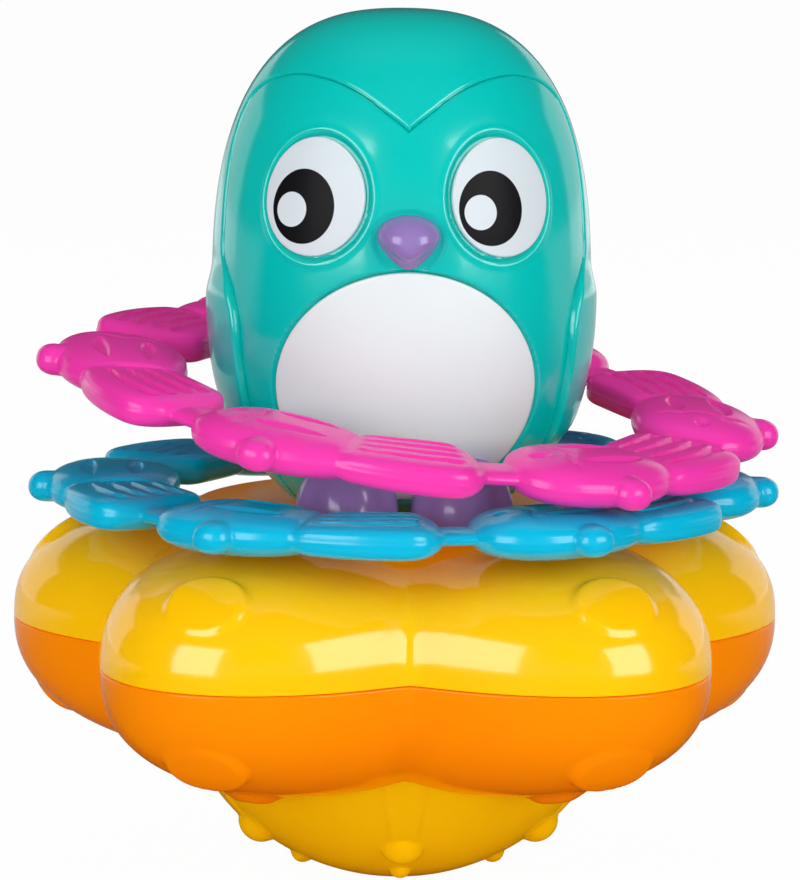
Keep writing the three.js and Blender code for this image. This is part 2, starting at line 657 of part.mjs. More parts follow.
const acrossBand = [-1, -0.92, -0.6, -0.3, 0, 0.3, 0.6, 0.92, 1];
const BAND_POWER = 2.6; // squareness of the band's section: 2 is an ellipse
const isGroove = (share) => share === -0.6 || share === 0 || share === 0.6;
const fishPitch = 360 / FISH;

// Half the thickness of the band at a share of its half-width.
function bandHeight(station, share) {
  const crown = (1 - Math.abs(share) ** BAND_POWER) ** (1 / BAND_POWER);
  return Math.max(0, (station.thick / 2) * crown);
}

function fishSection(station, angle) {
  const point = (share, side) => {
    const groove = side > 0 && isGroove(share) ? TAIL_GROOVE * station.fan : 0;
    return polar(RING_R + share * station.half, angle, side * bandHeight(station, share) - groove);
  };
  const top = acrossBand.map((share) => point(share, 1));
  const under = acrossBand.slice(1, -1).filter((share) => !isGroove(share));
  return [...top.reverse(), ...under.map((share) => point(share, -1))];
}

function fishFin(angle) {
  const rod = new THREE.CapsuleGeometry(FIN_R, FIN_TIP_R - RING_R - FIN_R * 2, 2, 8);
  rod.rotateZ(-Math.PI / 2).scale(1, FIN_STRETCH, 1);
  rod.translate((FIN_TIP_R + RING_R) / 2, 0, 0).rotateZ(angle);
  return solidOf(rod);
}

function fishRing() {
  const sections = [];
  const fins = [];
  const scale = fishPitch / STATION_SPAN;
  for (let fish = 0; fish < FISH; fish++) {
    const nose = fish * fishPitch;
    for (const station of fishStations) {
      sections.push(fishSection(station, (nose + station.at * scale) * DEG));
    }
    fins.push(fishFin((nose + FIN_AT * scale) * DEG));
  }
  return join([solidOf(looped(sections)), ...fins]);
}

// Height at which a ring's lowest points clear what lies under it.
function restHeight(points, topUnder) {
  let lift = -Infinity;
  for (const p of points) {
    const under = topUnder(p.x, p.y);
    if (under !== null) lift = Math.max(lift, under - p.z);
  }
  return lift + CLEARANCE;
}

// Scene

const root = new THREE.Group();

function place(name, solid, material, parent = root) {
  const mesh = new THREE.Mesh(geometryOf(solid), material);
  mesh.name = name;
  parent.add(mesh);
  return mesh;
}

place("float_upper_shell", floatUpperShell(), YELLOW);
place("float_lower_shell", floatLowerShell(), ORANGE);
place("keel_dome", keelDome(), YELLOW);
place("ballast_weight", ballastWeight(), STEEL);

const bird = new THREE.Group();
bird.position.z = birdZ;
root.add(bird);
place("bird_front_shell", birdFrontShell(), TEAL, bird);
place("bird_back_shell", birdBackShell(), TEAL, bird);
place("bird_base_plate", birdBasePlate(), TEAL, bird);
place("belly_panel", bellyPanel(), WHITE, bird);
place("eye_left", eyePlate(1), WHITE, bird);
place("eye_right", eyePlate(-1), WHITE, bird);
place("beak", beak(), PURPLE, bird);
place("foot_left", foot(1), PURPLE, bird);
place("foot_right", foot(-1), PURPLE, bird);

// Screws: three hold the keel from inside the float, three hold the bird, one holds the weight.
screwAngles.forEach((angle, i) => {
  const keelScrew = place(`keel_screw_${i + 1}`, screw(), STEEL);
  keelScrew.position.copy(polar(keelScrewR, angle, floorZ + WALL + CLEARANCE - SCREW_LENGTH));
  const birdScrew = place(`bird_screw_${i + 1}`, screw(), STEEL);
  birdScrew.rotation.x = Math.PI;
  birdScrew.position.copy(polar(BIRD_SCREW_R, angle, seatZ - WALL - CLEARANCE + SCREW_LENGTH));
});
const ballastScrew = place("ballast_screw", screw(), STEEL);
ballastScrew.position.z = BALLAST_TOP_Z + CLEARANCE - SCREW_LENGTH;

// Rings: the blue one lies on the petals, the pink one leans with its low side on the blue one.
const ring = fishRing();
const ringPoints = (mesh) => {
  mesh.updateMatrixWorld(true);
  const placed = new THREE.BufferGeometry().copy(mesh.geometry).applyMatrix4(mesh.matrixWorld);
  const points = placed.attributes.position;
  return Array.from({ length: points.count }, (_, i) => new THREE.Vector3().fromBufferAttribute(points, i));
};

// Top of the float at a point.
function floatTop(x, y) {
  const turn = (Math.atan2(y, x) - petalAngle(0)) / petalPitch;
  const off = softened((turn - Math.round(turn)) * petalPitch);
  const r = Math.hypot(x, y);
  if (r > petalRim(off, 0)) return null;
  const top = SEAM_Z + petalHeight(petalShare(r, off, 0), 1, 0);
  return r < SEAT_R ? seatZ : top;
}

// Top of the flat ring at a point, from the band and its fins.
function ringTop(x, y) {
  const local = new THREE.Vector3(x, y, 0).sub(blueRing.position);
  const r = Math.hypot(local.x, local.y);
  const turn = Math.atan2(local.y, local.x) / DEG - BLUE_SPIN;
  const at = (((turn % fishPitch) + fishPitch) % fishPitch) * (STATION_SPAN / fishPitch);
  const next = [...fishStations, { ...fishStations[0], at: STATION_SPAN }].find((s) => s.at > at);
  const last = fishStations.findLast((s) => s.at <= at);
  const mix = (at - last.at) / (next.at - last.at);
  const half = THREE.MathUtils.lerp(last.half, next.half, mix);
  const thick = THREE.MathUtils.lerp(last.thick, next.thick, mix);
  const finHalf = (FIN_R * FIN_STRETCH) / r / DEG;
  const inFin = Math.abs(at - FIN_AT) < finHalf && r > RING_R && r < FIN_TIP_R;
  const share = Math.abs(r - RING_R) / half;
  const middle = blueRing.position.z + local.y * Math.tan(BLUE_PITCH * DEG);
  if (share > 1) return inFin ? middle + FIN_R : null;
  return middle + Math.max(bandHeight({ thick }, share), inFin ? FIN_R : 0);
}

const blueRing = place("ring_blue", ring, BLUE);
blueRing.rotation.set(BLUE_PITCH * DEG, 0, BLUE_SPIN * DEG);
blueRing.position.x = BLUE_SHIFT;
blueRing.position.z = restHeight(ringPoints(blueRing), floatTop);

const pinkRing = place("ring_pink", ring, PINK);
pinkRing.rotation.set(PINK_PITCH * DEG, PINK_ROLL * DEG, PINK_SPIN * DEG);
pinkRing.position.x = PINK_SHIFT;
pinkRing.position.z = restHeight(ringPoints(pinkRing), ringTop);

export default root;
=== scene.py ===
"""Bath ring stacker: smooth moulded shells, fish rings and a studio stage over the packed frame."""

import math

import bmesh
import bpy
import numpy as np
from bpy.props import FloatProperty, FloatVectorProperty, IntProperty, PointerProperty
from mathutils import Matrix, Vector
from mathutils.kdtree import KDTree


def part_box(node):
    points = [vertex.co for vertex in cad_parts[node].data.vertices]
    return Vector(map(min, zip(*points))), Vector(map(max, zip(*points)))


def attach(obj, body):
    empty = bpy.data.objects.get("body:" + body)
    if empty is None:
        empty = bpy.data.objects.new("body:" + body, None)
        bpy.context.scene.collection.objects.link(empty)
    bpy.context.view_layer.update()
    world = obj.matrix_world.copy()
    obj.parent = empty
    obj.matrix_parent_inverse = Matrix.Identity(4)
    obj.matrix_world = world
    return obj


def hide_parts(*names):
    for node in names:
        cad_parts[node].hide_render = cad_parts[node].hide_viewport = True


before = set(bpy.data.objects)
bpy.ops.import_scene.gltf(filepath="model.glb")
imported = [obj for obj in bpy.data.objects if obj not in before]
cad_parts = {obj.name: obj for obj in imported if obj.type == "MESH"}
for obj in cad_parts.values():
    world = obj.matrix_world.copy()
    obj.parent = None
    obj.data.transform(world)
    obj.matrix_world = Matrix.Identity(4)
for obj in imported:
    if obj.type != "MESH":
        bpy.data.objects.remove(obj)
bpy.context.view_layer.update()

bl_info = {
    "name": "Bath Ring Stacker",
    "version": (1, 0, 0),
    "blender": (4, 5, 0),
    "location": "3D View > Sidebar > Ring Stacker",
    "description": "A floating bath toy: a bird on a petal float, with rings of linked fish",
    "category": "Add Mesh",
}

MM = 0.001
TURN = 2 * math.pi
FLOAT_BODY = "float_and_bird"
CREASE = math.radians(40)
RING_CREASE = math.radians(48)
MERGE_DISTANCE = 0.01 * MM


# Settings

def length(name, millimetres, description):
    """A size in millimetres as a property in metres."""
    return FloatProperty(
        name=name, description=description, default=millimetres * MM, min=0.0, precision=4, unit="LENGTH",
    )


def angle(name, degrees, description):
    """An angle in degrees as a property in radians."""
    return FloatProperty(name=name, description=description, default=math.radians(degrees), subtype="ANGLE")


def amount(name, value, description):
    """A plain number from 0 upwards."""
    return FloatProperty(name=name, description=description, default=value, min=0.0)


def colour(name, red, green, blue, description):
    """A colour written in screen values from 0 to 255, kept as linear light."""
    return FloatVectorProperty(
        name=name, description=description, size=3, min=0.0, max=1.0, subtype="COLOR",
        default=[linear(channel / 255) for channel in (red, green, blue)],
    )


def linear(channel):
    """Linear light of a screen value from 0 to 1."""
    return channel / 12.92 if channel <= 0.04045 else ((channel + 0.055) / 1.055) ** 2.4


class FloatSettings(bpy.types.PropertyGroup):
    """Sizes of the two petal shells."""
    petals: IntProperty(name="Petals", description="Petals round the float", default=5, min=3)
    petal_centre: length("Petal centre", 22.0, "From the axis to the middle of a petal")
    petal_length: length("Petal length", 59.5, "From the middle of a petal to its tip")
    petal_half_width: length("Petal half width", 39.0, "From the middle of a petal to its side")
    groove_soft: angle("Groove softness", 1.5, "How far the rounding of a groove reaches to each side")
    upper_power: amount("Upper fullness", 2.55, "Power of the upper curve, where 2 is an ellipse")
    under_power: amount("Under fullness", 2.35, "Power of the lower curve, where 2 is an ellipse")
    seam_height: length("Seam height", 48.8, "Height of the seam between the two shells")
    upper_rise: length("Upper rise", 25.3, "From the seam up to the top of the petals")
    lower_drop: length("Lower drop", 27.6, "From the seam down to the underside")
    wall: length("Wall", 2.2, "Thickness of the moulding")
    seam_gap: length("Seam gap", 0.1, "From the seam to each shell's edge")
    seam_round: length("Seam rounding", 0.3, "Radius of the upper shell's edge at the seam")
    lip_round: length("Lip rounding", 0.6, "Radius of the lower shell's edge at the seam")
    seat_radius: length("Seat radius", 42.0, "Radius of the flat seat that carries the bird")
    seat_hole: length("Seat hole", 9.0, "Radius of the hole inside the seat, under the bird")
    seat_step: length("Seat step", 0.4, "Height of the seat over the petals")
    socket_radius: length("Socket radius", 43.5, "Radius of the socket that the dome sits in")
    socket_height: length("Socket height", 28.0, "Height of the socket's floor")
    shoulder_radius: length("Shoulder pad radius", 8.2, "Radius of the oval pad on each shoulder")
    shoulder_stretch: amount("Shoulder pad stretch", 1.18, "Width of a shoulder pad over its height")
    shoulder_proud: length("Shoulder pad rise", 1.6, "How far the inner edge of a shoulder pad stands out")
    shoulder_at: amount("Shoulder pad place", 0.86, "Share of the petal's reach at which the pad sits")
    shoulder_swing: angle("Front pad swing", 3.4, "How far the two front pads move towards the front")
    under_radius: length("Under pad radius", 7.6, "Radius of the oval pad under each petal")
    under_proud: length("Under pad rise", 1.7, "How far an under pad stands out")
    under_at: amount("Under pad place", 0.48, "Share of the petal's reach at which the under pad sits")


class KeelSettings(bpy.types.PropertyGroup):
    """Sizes of the dome under the float."""
    ball_radius: length("Ball radius", 46.5, "Radius of the ball that the dome is cut from")
    foot_radius: length("Foot radius", 12.0, "Radius of the flat that the toy stands on")
    top_height: length("Top height", 27.7, "Height of the dome's rim")
    wall: length("Wall", 2.2, "Thickness of the moulding")
    tongue_width: length("Tongue half width", 5.3, "Half width of a tongue where it leaves the rim")
    tongue_proud: length("Tongue rise", 0.45, "How far a tongue stands out along its length")
    lump_radius: length("Lump radius", 4.2, "Radius of the lump at the end of each tongue")
    lump_proud: length("Lump rise", 2.7, "How far a lump stands out")
    lump_at: angle("Lump place", 41, "Tilt of a lump's middle from straight down")
    bead_radius: length("Bead radius", 2.2, "Radius of the small bead below each tongue")
    bead_proud: length("Bead rise", 1.5, "How far a bead stands out")
    bead_at: angle("Bead place", 26.5, "Tilt of a bead from straight down")


class BirdSettings(bpy.types.PropertyGroup):
    """Sizes of the bird's shells and inlays."""
    half_width: length("Half width", 37.9, "Half of the body's width at its waist")
    half_depth: length("Half depth", 36.4, "Half of the body's depth at its waist")
    waist: length("Waist height", 43.4, "Height of the widest level over the bird's base")
    height: length("Height", 99.85, "Height of the bird over its base")
    head_power: amount("Head fullness", 2.6, "Power of the curve above the waist")
    lower_power: amount("Lower fullness", 2.3, "Power of the curve below the waist")
    lower_reach: length("Lower reach", 48.0, "Depth at which the lower curve would close")
    wall: length("Wall", 2.2, "Thickness of the moulding")
    middle: length("Face middle", 57.8, "Height of the point that the face is laid out from")
    groove: length("Parting groove", 0.95, "Radius of the two edges at the parting groove")
    hood_proud: length("Hood rise", 0.3, "How far the hood stands over the face")
    wing_proud: length("Wing rise", 1.2, "How far the wings stand over the back")
    wing_height: length("Wing height", 31.0, "Height of the wing's middle over the base")
    wing_half_height: length("Wing half height", 19.5, "Half of a wing's height")
    wing_at: angle("Wing place", 72, "Angle of a wing's middle from the front")
    wing_half_turn: angle("Wing half turn", 50, "Half of the angle that a wing covers")
    eye_at: angle("Eye place", 31.1, "Angle of an eye's middle from the front")
    eye_half_turn: angle("Eye half turn", 17.6, "Half of the angle that an eye covers")
    eye_height: length("Eye height", 65.2, "Height of an eye's middle over the base")
    eye_half_height: length("Eye half height", 11.6, "Half of an eye's height")
    eye_recess: length("Eye recess", 1.35, "Width of the rounded recess round an eye")
    belly_height: length("Belly height", 27.6, "Height of the belly panel's middle over the base")
    belly_half_height: length("Belly half height", 23.4, "Half of the belly panel's height")
    belly_half_width: length("Belly half width", 25.8, "Half of the belly panel's width")
    belly_recess: length("Belly recess", 0.7, "Width of the groove round the belly panel")
    inlay: length("Inlay", 1.1, "Thickness of the eye and belly inlays")
    beak_half_width: length("Beak half width", 6.2, "Half of the beak's width")
    beak_rise: length("Beak top", 4.4, "From the beak's middle up to its top edge")
    beak_drop: length("Beak drop", 6.2, "From the beak's middle down to its tip")
    beak_proud: length("Beak reach", 6.1, "How far the beak stands out of the face")
    foot_spread: length("Foot spread", 11.4, "From the middle of the bird to the middle of a foot")
    foot_half_width: length("Foot half width", 10.4, "Half of a foot's width")
    foot_middle: length("Foot middle", 26.0, "From the axis forward to the middle of a foot")
    foot_reach: length("Foot reach", 11.4, "From a foot's middle to the tip of its toes")
    foot_height: length("Foot height", 13.4, "Height of a foot")
    toes: IntProperty(name="Toes", description="Soft lobes along the front of a foot", default=3, min=1)


class RingSettings(bpy.types.PropertyGroup):
    """Sizes of a ring of linked fish."""
    fish: IntProperty(name="Fish", description="Fish in a ring", default=6, min=3)
    radius: length("Ring radius", 59.0, "Radius of the line that the fish follow")
    body_half: length("Body half width", 13.4, "Half of a fish's width at its shoulders")
    body_thick: length("Body half thickness", 4.7, "Half of a fish's thickness")
    waist_half: length("Waist half width", 9.7, "Half of the width before the tail")
    waist_thick: length("Waist half thickness", 3.0, "Half of the thickness before the tail")
    tail_half: length("Tail half width", 12.1, "Half of the tail's width at its broad end")
    tail_thick: length("Tail half thickness", 3.6, "Half of the tail's thickness")
    link_half: length("Link half width", 5.0, "Half of the width of the link to the next fish")
    link_thick: length("Link half thickness", 1.6, "Half of the thickness of the link")
    fin_at: angle("Fin place", 18.3, "Angle from a fish's nose to its fin nub")
    fin_half: length("Fin half width", 4.05, "Half of a fin nub's width")
    fin_thick: length("Fin half thickness", 3.1, "Half of a fin nub's thickness")
    fin_tip: length("Fin tip", 76.1, "Radius of the tips of the fin nubs")
    fin_root: length("Fin root", 60.0, "Radius at which a fin nub starts inside the body")
    tail_sink: length("Tail sink", 0.75, "Depth of the grooves in a tail")
    leaf_sink: length("Leaf sink", 0.7, "Depth of the two leaf-shaped hollows on a body")
    gill_sink: length("Gill sink", 0.45, "Depth of the scalloped gill line")
    eye_radius: length("Fish eye radius", 1.8, "Radius of the sunken eye on a body")
    eye_sink: length("Fish eye depth", 0.7, "Depth of the sunken eye")
    mould_line: length("Mould line", 0.14, "Height of the line left by the mould round the edge")


class ColourSettings(bpy.types.PropertyGroup):
    """Colours of the mouldings."""
    yellow: colour("Yellow", 253, 199, 0, "Upper float shell")
    orange: colour("Orange", 254, 142, 0, "Lower float shell")
    dome_yellow: colour("Dome yellow", 248, 198, 2, "Keel dome")
    teal: colour("Teal", 0, 200, 190, "Bird's shells")
    eye_white: colour("Eye white", 216, 227, 232, "Eyes")
    belly_white: colour("Belly white", 229, 240, 239, "Belly panel")
    black: colour("Black", 16, 16, 19, "Pupils")
    purple: colour("Purple", 150, 124, 190, "Beak and feet")
    pink: colour("Pink", 243, 58, 178, "Upper ring")
    blue: colour("Blue", 0, 190, 229, "Lower ring")
    steel: colour("Steel", 178, 181, 186, "Screws and ballast")
    floor: colour("Floor", 240, 240, 240, "Studio floor")


class StageSettings(bpy.types.PropertyGroup):
    """Camera, lamps and floor."""
    target_height: length("Target height", 87.7, "Height of the point that the camera looks at")
    distance: length("Camera distance", 1000.0, "From that point to the camera")
    azimuth: angle("Azimuth", -2.2, "Camera's turn about the toy, where 0 looks at the bird's face")
    elevation: angle("Elevation", 8.3, "Camera's height as an angle")
    roll: angle("Roll", 0.5, "Camera's roll, which leans the toy in the picture")
    lens: FloatProperty(name="Lens", description="Focal length", default=201.9, unit="CAMERA")
    floor_size: length("Floor size", 12000.0, "Side of the square floor")
    surroundings: amount("Surroundings", 0.06, "Brightness of the studio round the toy")


SETTINGS = {
    "stacker_float": FloatSettings,
    "stacker_keel": KeelSettings,
    "stacker_bird": BirdSettings,
    "stacker_ring": RingSettings,
    "stacker_colours": ColourSettings,
    "stacker_stage": StageSettings,
}


# Shapes in numbers

def smooth_step(low, high, value):
    """0 below low, 1 above high, and an even rise between them."""
    share = np.clip((value - low) / (high - low), 0.0, 1.0)
    return share * share * (3 - 2 * share)


def signed_power(value, power):
    """A power that keeps its value's sign."""
    return np.sign(value) * np.abs(value) ** power


def edge_fall(distance, radius):
    """How far a rounded edge of that radius has fallen at a distance from it."""
    inside = np.clip(radius - distance, 0.0, radius)
    return radius - np.sqrt(radius ** 2 - inside ** 2)


def even_turns(count):
    """Evenly spaced turns, from 0."""
    return np.arange(count) * TURN / count


def points_of(x, y, z):
    """Points from arrays of their coordinates."""
    return np.stack(np.broadcast_arrays(x, y, z), axis=-1)


def cylinder_points(radius, turn, height):
    """Points from arrays of radius, turn about the axis and height."""
    return points_of(radius * np.cos(turn), radius * np.sin(turn), height)


def grid_normals(grid, centre):
    """Unit normals of a closed grid of points, away from a centre."""
    across = np.roll(grid, -1, axis=1) - np.roll(grid, 1, axis=1)
    along = np.gradient(grid, axis=0)
    normals = np.cross(across, along)
    normals /= np.maximum(np.linalg.norm(normals, axis=-1, keepdims=True), 1e-12)
    side = np.sign(np.sum(normals * (grid - centre), axis=-1, keepdims=True))
    return normals * side


def search_tree(points):
    """A tree that finds the nearest of some points."""
    tree = KDTree(len(points))
    for index, point in enumerate(points):
        tree.insert(point, index)
    tree.balance()
    return tree


def distance_to(points, curve):
    """Distance from each point to the nearest point of a dense curve."""
    tree = search_tree(curve)
    flat = points.reshape(-1, 3)
    found = np.array([tree.find(point)[2] for point in flat])
    return found.reshape(points.shape[:-1])


def oval_distance(across, up, half_width, half_height):
    """Distance to an oval about 0, less than 0 inside it."""
    share = np.maximum(np.hypot(across / half_width, up / half_height), 1e-6)
    slope = np.hypot(across / half_width ** 2, up / half_height ** 2) / share
    return (share - 1) / np.maximum(slope, 1e-6)


# Meshes

def skin(name, rings, loop=False, caps=False):
    """A smooth mesh over closed rings of points, joined end to end or capped."""
    rows, columns = rings.shape[:2]
    points = rings.reshape(-1, 3)
    index = np.arange(rows * columns).reshape(rows, columns)
    near = index if loop else index[:-1]
    far = np.roll(index, -1, axis=0) if loop else index[1:]
    corners = (near, np.roll(near, -1, axis=1), np.roll(far, -1, axis=1), far)
    faces = np.stack(corners, axis=-1).reshape(-1, 4).tolist()
    if caps:
        points = np.vstack([points, rings[0].mean(axis=0), rings[-1].mean(axis=0)])
        start = rows * columns
        end = start + 1
        for column in range(columns):
            after = (column + 1) % columns
            faces.append((start, int(index[0, after]), int(index[0, column])))
            faces.append((end, int(index[-1, column]), int(index[-1, after])))
    return mesh_of(name, points, faces)


def mesh_of(name, points, faces):
    """A mesh of points and faces, shaded smooth."""
    mesh = bpy.data.meshes.new(name)
    mesh.from_pydata(points.tolist(), [], faces)
    mesh.shade_smooth()
    return mesh


def settle(mesh, crease):
    """Faces turned outwards, and edges sharper than the crease angle kept sharp."""
    shape = bmesh.new()
    shape.from_mesh(mesh)
    if shape.calc_volume(signed=True) < 0:
        bmesh.ops.reverse_faces(shape, faces=shape.faces)
    shape.to_mesh(mesh)
    shape.free()
    mesh.shade_smooth()
    mesh.set_sharp_from_angle(angle=crease)
    return mesh


def placed(name, data):
    """An object of that data, in the scene."""
    thing = bpy.data.objects.new(name, data)
    bpy.context.scene.collection.objects.link(thing)
    return thing


def show(name, mesh, material, body, slot, *nodes, crease=CREASE):
    """A finished piece that rides on a body and stands for its CAD nodes."""
    settle(mesh, crease)
    mesh.materials.clear()
    mesh.materials.append(material)
    piece = placed(name, mesh)
    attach(piece, body)
    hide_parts(*nodes)
    return piece


def repeat_tree():
    """Geometry nodes that repeat a sector about the upright axis and join the copies."""
    name = "repeat_round_axis"
    if name in bpy.data.node_groups:
        return bpy.data.node_groups[name]
    tree = bpy.data.node_groups.new(name, "GeometryNodeTree")
    sockets = {"Geometry": "Geometry", "Count": "Int", "First Turn": "Float", "Merge Distance": "Float"}
    sockets["Material"] = "Material"
    for label, kind in sockets.items():
        tree.interface.new_socket(label, in_out="INPUT", socket_type="NodeSocket" + kind)
    tree.interface.new_socket("Geometry", in_out="OUTPUT", socket_type="NodeSocketGeometry")

    def node(kind, **links):
        made = tree.nodes.new(kind)
        for socket, source in links.items():
            tree.links.new(source, made.inputs[socket.replace("_", " ")])
        return made

    def maths(operation, first, second):
        made = tree.nodes.new("ShaderNodeMath")
        made.operation = operation
        for socket, value in zip(made.inputs, (first, second)):
            if isinstance(value, (int, float)):
                socket.default_value = value
            else:
                tree.links.new(value, socket)
        return made.outputs[0]

    given = node("NodeGroupInput").outputs
    step = maths("DIVIDE", TURN, given["Count"])
    index = node("GeometryNodeInputIndex").outputs[0]
    turn = maths("ADD", maths("MULTIPLY", index, step), given["First Turn"])
    euler = node("ShaderNodeCombineXYZ", Z=turn).outputs[0]
    rotation = node("FunctionNodeEulerToRotation", Euler=euler).outputs[0]
    places = node("GeometryNodePoints", Count=given["Count"]).outputs[0]
    copies = node(
        "GeometryNodeInstanceOnPoints", Points=places, Instance=given["Geometry"], Rotation=rotation,
    ).outputs[0]
    real = node("GeometryNodeRealizeInstances", Geometry=copies).outputs[0]
    joined = node(
        "GeometryNodeMergeByDistance", Geometry=real, Distance=given["Merge Distance"],
    ).outputs[0]
    painted = node("GeometryNodeSetMaterial", Geometry=joined, Material=given["Material"]).outputs[0]
    node("NodeGroupOutput", Geometry=painted)
    return tree


def repeated(sector, count, first_turn, material):
    """A plain mesh of a sector repeated about the axis."""
    tree = repeat_tree()
    carrier = placed(sector.name + "_repeat", sector)
    modifier = carrier.modifiers.new("repeat", "NODES")
    modifier.node_group = tree
    values = {"Count": count, "First Turn": first_turn, "Material": material}
    values["Merge Distance"] = MERGE_DISTANCE
    for item in tree.interface.items_tree:
        if item.in_out == "INPUT" and item.name in values:
            modifier[item.identifier] = values[item.name]
    mesh = baked(carrier)
    bpy.data.objects.remove(carrier)
    return mesh


def baked(carrier):
    """A plain mesh of an object with its modifiers applied."""
    bpy.context.view_layer.update()
    graph = bpy.context.evaluated_depsgraph_get()
    return bpy.data.meshes.new_from_object(carrier.evaluated_get(graph))


def joined_solids(name, main, extra):
    """Two closed meshes united into one."""
    keeper = placed(name, main)
    other = placed(name + "_extra", extra)
    union = keeper.modifiers.new("union", "BOOLEAN")
    union.operation = "UNION"
    union.solver = "EXACT"
    union.object = other
    mesh = baked(keeper)
    bpy.data.objects.remove(keeper)
    bpy.data.objects.remove(other)
    return mesh


# Materials

class Value:
    """A shader socket that takes part in Python sums."""

    def __init__(self, paint, socket):
        self.paint = paint
        self.socket = socket

    def maths(self, operation, first, second):
        settings = {"operation": operation}
        return self.paint.node("ShaderNodeMath", settings, {0: first, 1: second})

    def __add__(self, other):
        return self.maths("ADD", self, other)

    def __radd__(self, other):
        return self.maths("ADD", other, self)

    def __sub__(self, other):
        return self.maths("SUBTRACT", self, other)

    def __rsub__(self, other):
        return self.maths("SUBTRACT", other, self)

    def __mul__(self, other):
        return self.maths("MULTIPLY", self, other)

    def __rmul__(self, other):
        return self.maths("MULTIPLY", other, self)

    def __truediv__(self, other):
        return self.maths("DIVIDE", self, other)

    def __rtruediv__(self, other):
        return self.maths("DIVIDE", other, self)


class Paint:
    """A material under construction."""

    def __init__(self, name):
        self.material = bpy.data.materials.new(name)
        self.material.use_nodes = True
        self.tree = self.material.node_tree
        self.tree.nodes.clear()

    def node(self, kind, settings=None, inputs=None, output=0):
        """A node of that kind, with its settings first and then its sockets' values or links."""
        made = self.tree.nodes.new(kind)
        for name, value in (settings or {}).items():
            setattr(made, name, value)
        for name, value in (inputs or {}).items():
            if isinstance(value, Value):
                self.tree.links.new(value.socket, made.inputs[name])
            else:
                made.inputs[name].default_value = value
        return Value(self, made.outputs[output]) if made.outputs else made

    def place(self):
        """Object coordinates."""
        return self.node("ShaderNodeTexCoord", output="Object")

    def axes(self, place):
        """The three coordinates of a place."""
        parts = self.node("ShaderNodeSeparateXYZ", {}, {0: place}).socket.node.outputs
        return [Value(self, socket) for socket in parts]

    def ramp(self, value, low, high, start, end):
        """A smooth change from start, where the value is low, to end, where it is high."""
        settings = {"interpolation_type": "SMOOTHSTEP"}
        limits = {"Value": value, 1: low, 2: high, 3: start, 4: end}
        return self.node("ShaderNodeMapRange", settings, limits)

    def noise(self, place, scale, detail):
        """Noise about 0.5 with that many features to the metre."""
        return self.node("ShaderNodeTexNoise", {}, {"Vector": place, "Scale": scale, "Detail": detail})

    def mix(self, share, first, second):
        """One colour turning into another."""
        settings = {"data_type": "RGBA"}
        return self.node("ShaderNodeMix", settings, {0: share, 6: first, 7: second}, output=2)

    def finish(self, **inputs):
        """The surface, from the values of a principled shader's sockets."""
        named = {name.replace("_", " "): value for name, value in inputs.items()}
        surface = self.node("ShaderNodeBsdfPrincipled", {}, named)
        self.node("ShaderNodeOutputMaterial", {}, {"Surface": surface})
        return self.material


def opaque(rgb, level=1.0):
    """A colour with full alpha, made lighter or darker."""
    return (rgb[0] * level, rgb[1] * level, rgb[2] * level, 1.0)


# Features to the metre, and detail, of the noises in a moulding
SHADE_NOISE = (28.0, 2.0)
HAZE_NOISE = (95.0, 3.0)
SPECKLE_NOISE = (1500.0, 1.0)

# Darkest shade of a moulding, how far haze changes its roughness, and the green share of its painted glow,
# an emission that stands in for light let through
DARK_SHADE = 0.955
HAZE_REACH = 0.07
PAINTED_GLOW_GREEN = 0.5

# Shares of speckle and haze in the height of a moulding's skin, and that height
SPECKLE_SHARE = 0.7
HAZE_SHARE = 0.3
SKIN_DEPTH = 0.2 * MM
PLASTIC_IOR = 1.49

# Roughness, grain of the skin, strength of reflections, and strength of a painted glow that stands in for
# light let through, for each colour
FINISHES = {
    "yellow": (0.12, 0.05, 0.64, 0.13),
    "orange": (0.13, 0.05, 0.15, 0.08),
    "dome_yellow": (0.16, 0.05, 0.08, 0.1),
    "teal": (0.14, 0.05, 0.66, 0.0),
    "eye_white": (0.32, 0.06, 0.07, 0.0),
    "belly_white": (0.26, 0.06, 0.1, 0.0),
    "purple": (0.18, 0.05, 0.6, 0.0),
    "blue": (0.19, 0.07, 0.42, 0.0),
    "pink": (0.22, 0.08, 0.36, 0.07),
}


def moulded_plastic(name, colours, key, picture=None):
    """Glossy moulded plastic: a drift of shade, handling haze, skin texture, and a painted glow for light
    let through.
    """
    roughness, grain, shine, glow = FINISHES[key]
    rgb = getattr(colours, key)
    paint = Paint(name)
    place = paint.place()
    drift = paint.noise(place, *SHADE_NOISE)
    base = paint.mix(drift, opaque(rgb, DARK_SHADE), opaque(rgb))
    if picture:
        base = picture(paint, place, base)
    haze = paint.noise(place, *HAZE_NOISE)
    speckle = paint.noise(place, *SPECKLE_NOISE)
    height = speckle * SPECKLE_SHARE + haze * HAZE_SHARE
    normal = paint.node("ShaderNodeBump", {}, {"Strength": grain, "Distance": SKIN_DEPTH, "Height": height})
    # The emission is a painted glow that lifts the moulding's shade in place of light let through
    return paint.finish(
        Base_Color=base, Roughness=(haze - 0.5) * HAZE_REACH + roughness, Normal=normal,
        IOR=PLASTIC_IOR, Specular_IOR_Level=shine,
        Emission_Color=opaque((rgb[0], PAINTED_GLOW_GREEN * rgb[1], 0.0)), Emission_Strength=glow,
    )


# Turning marks in steel: rings to the metre, waver, strength and depth; then its tarnish and roughness
MARK_SCALE = 420.0
MARK_WAVER = 0.6
MARK_STRENGTH = 0.08
MARK_DEPTH = 0.1 * MM
TARNISH_NOISE = (160.0, 3.0)
TARNISH_SHADE = 0.8
STEEL_ROUGHNESS = 0.22
TARNISH_ROUGHNESS = 0.2


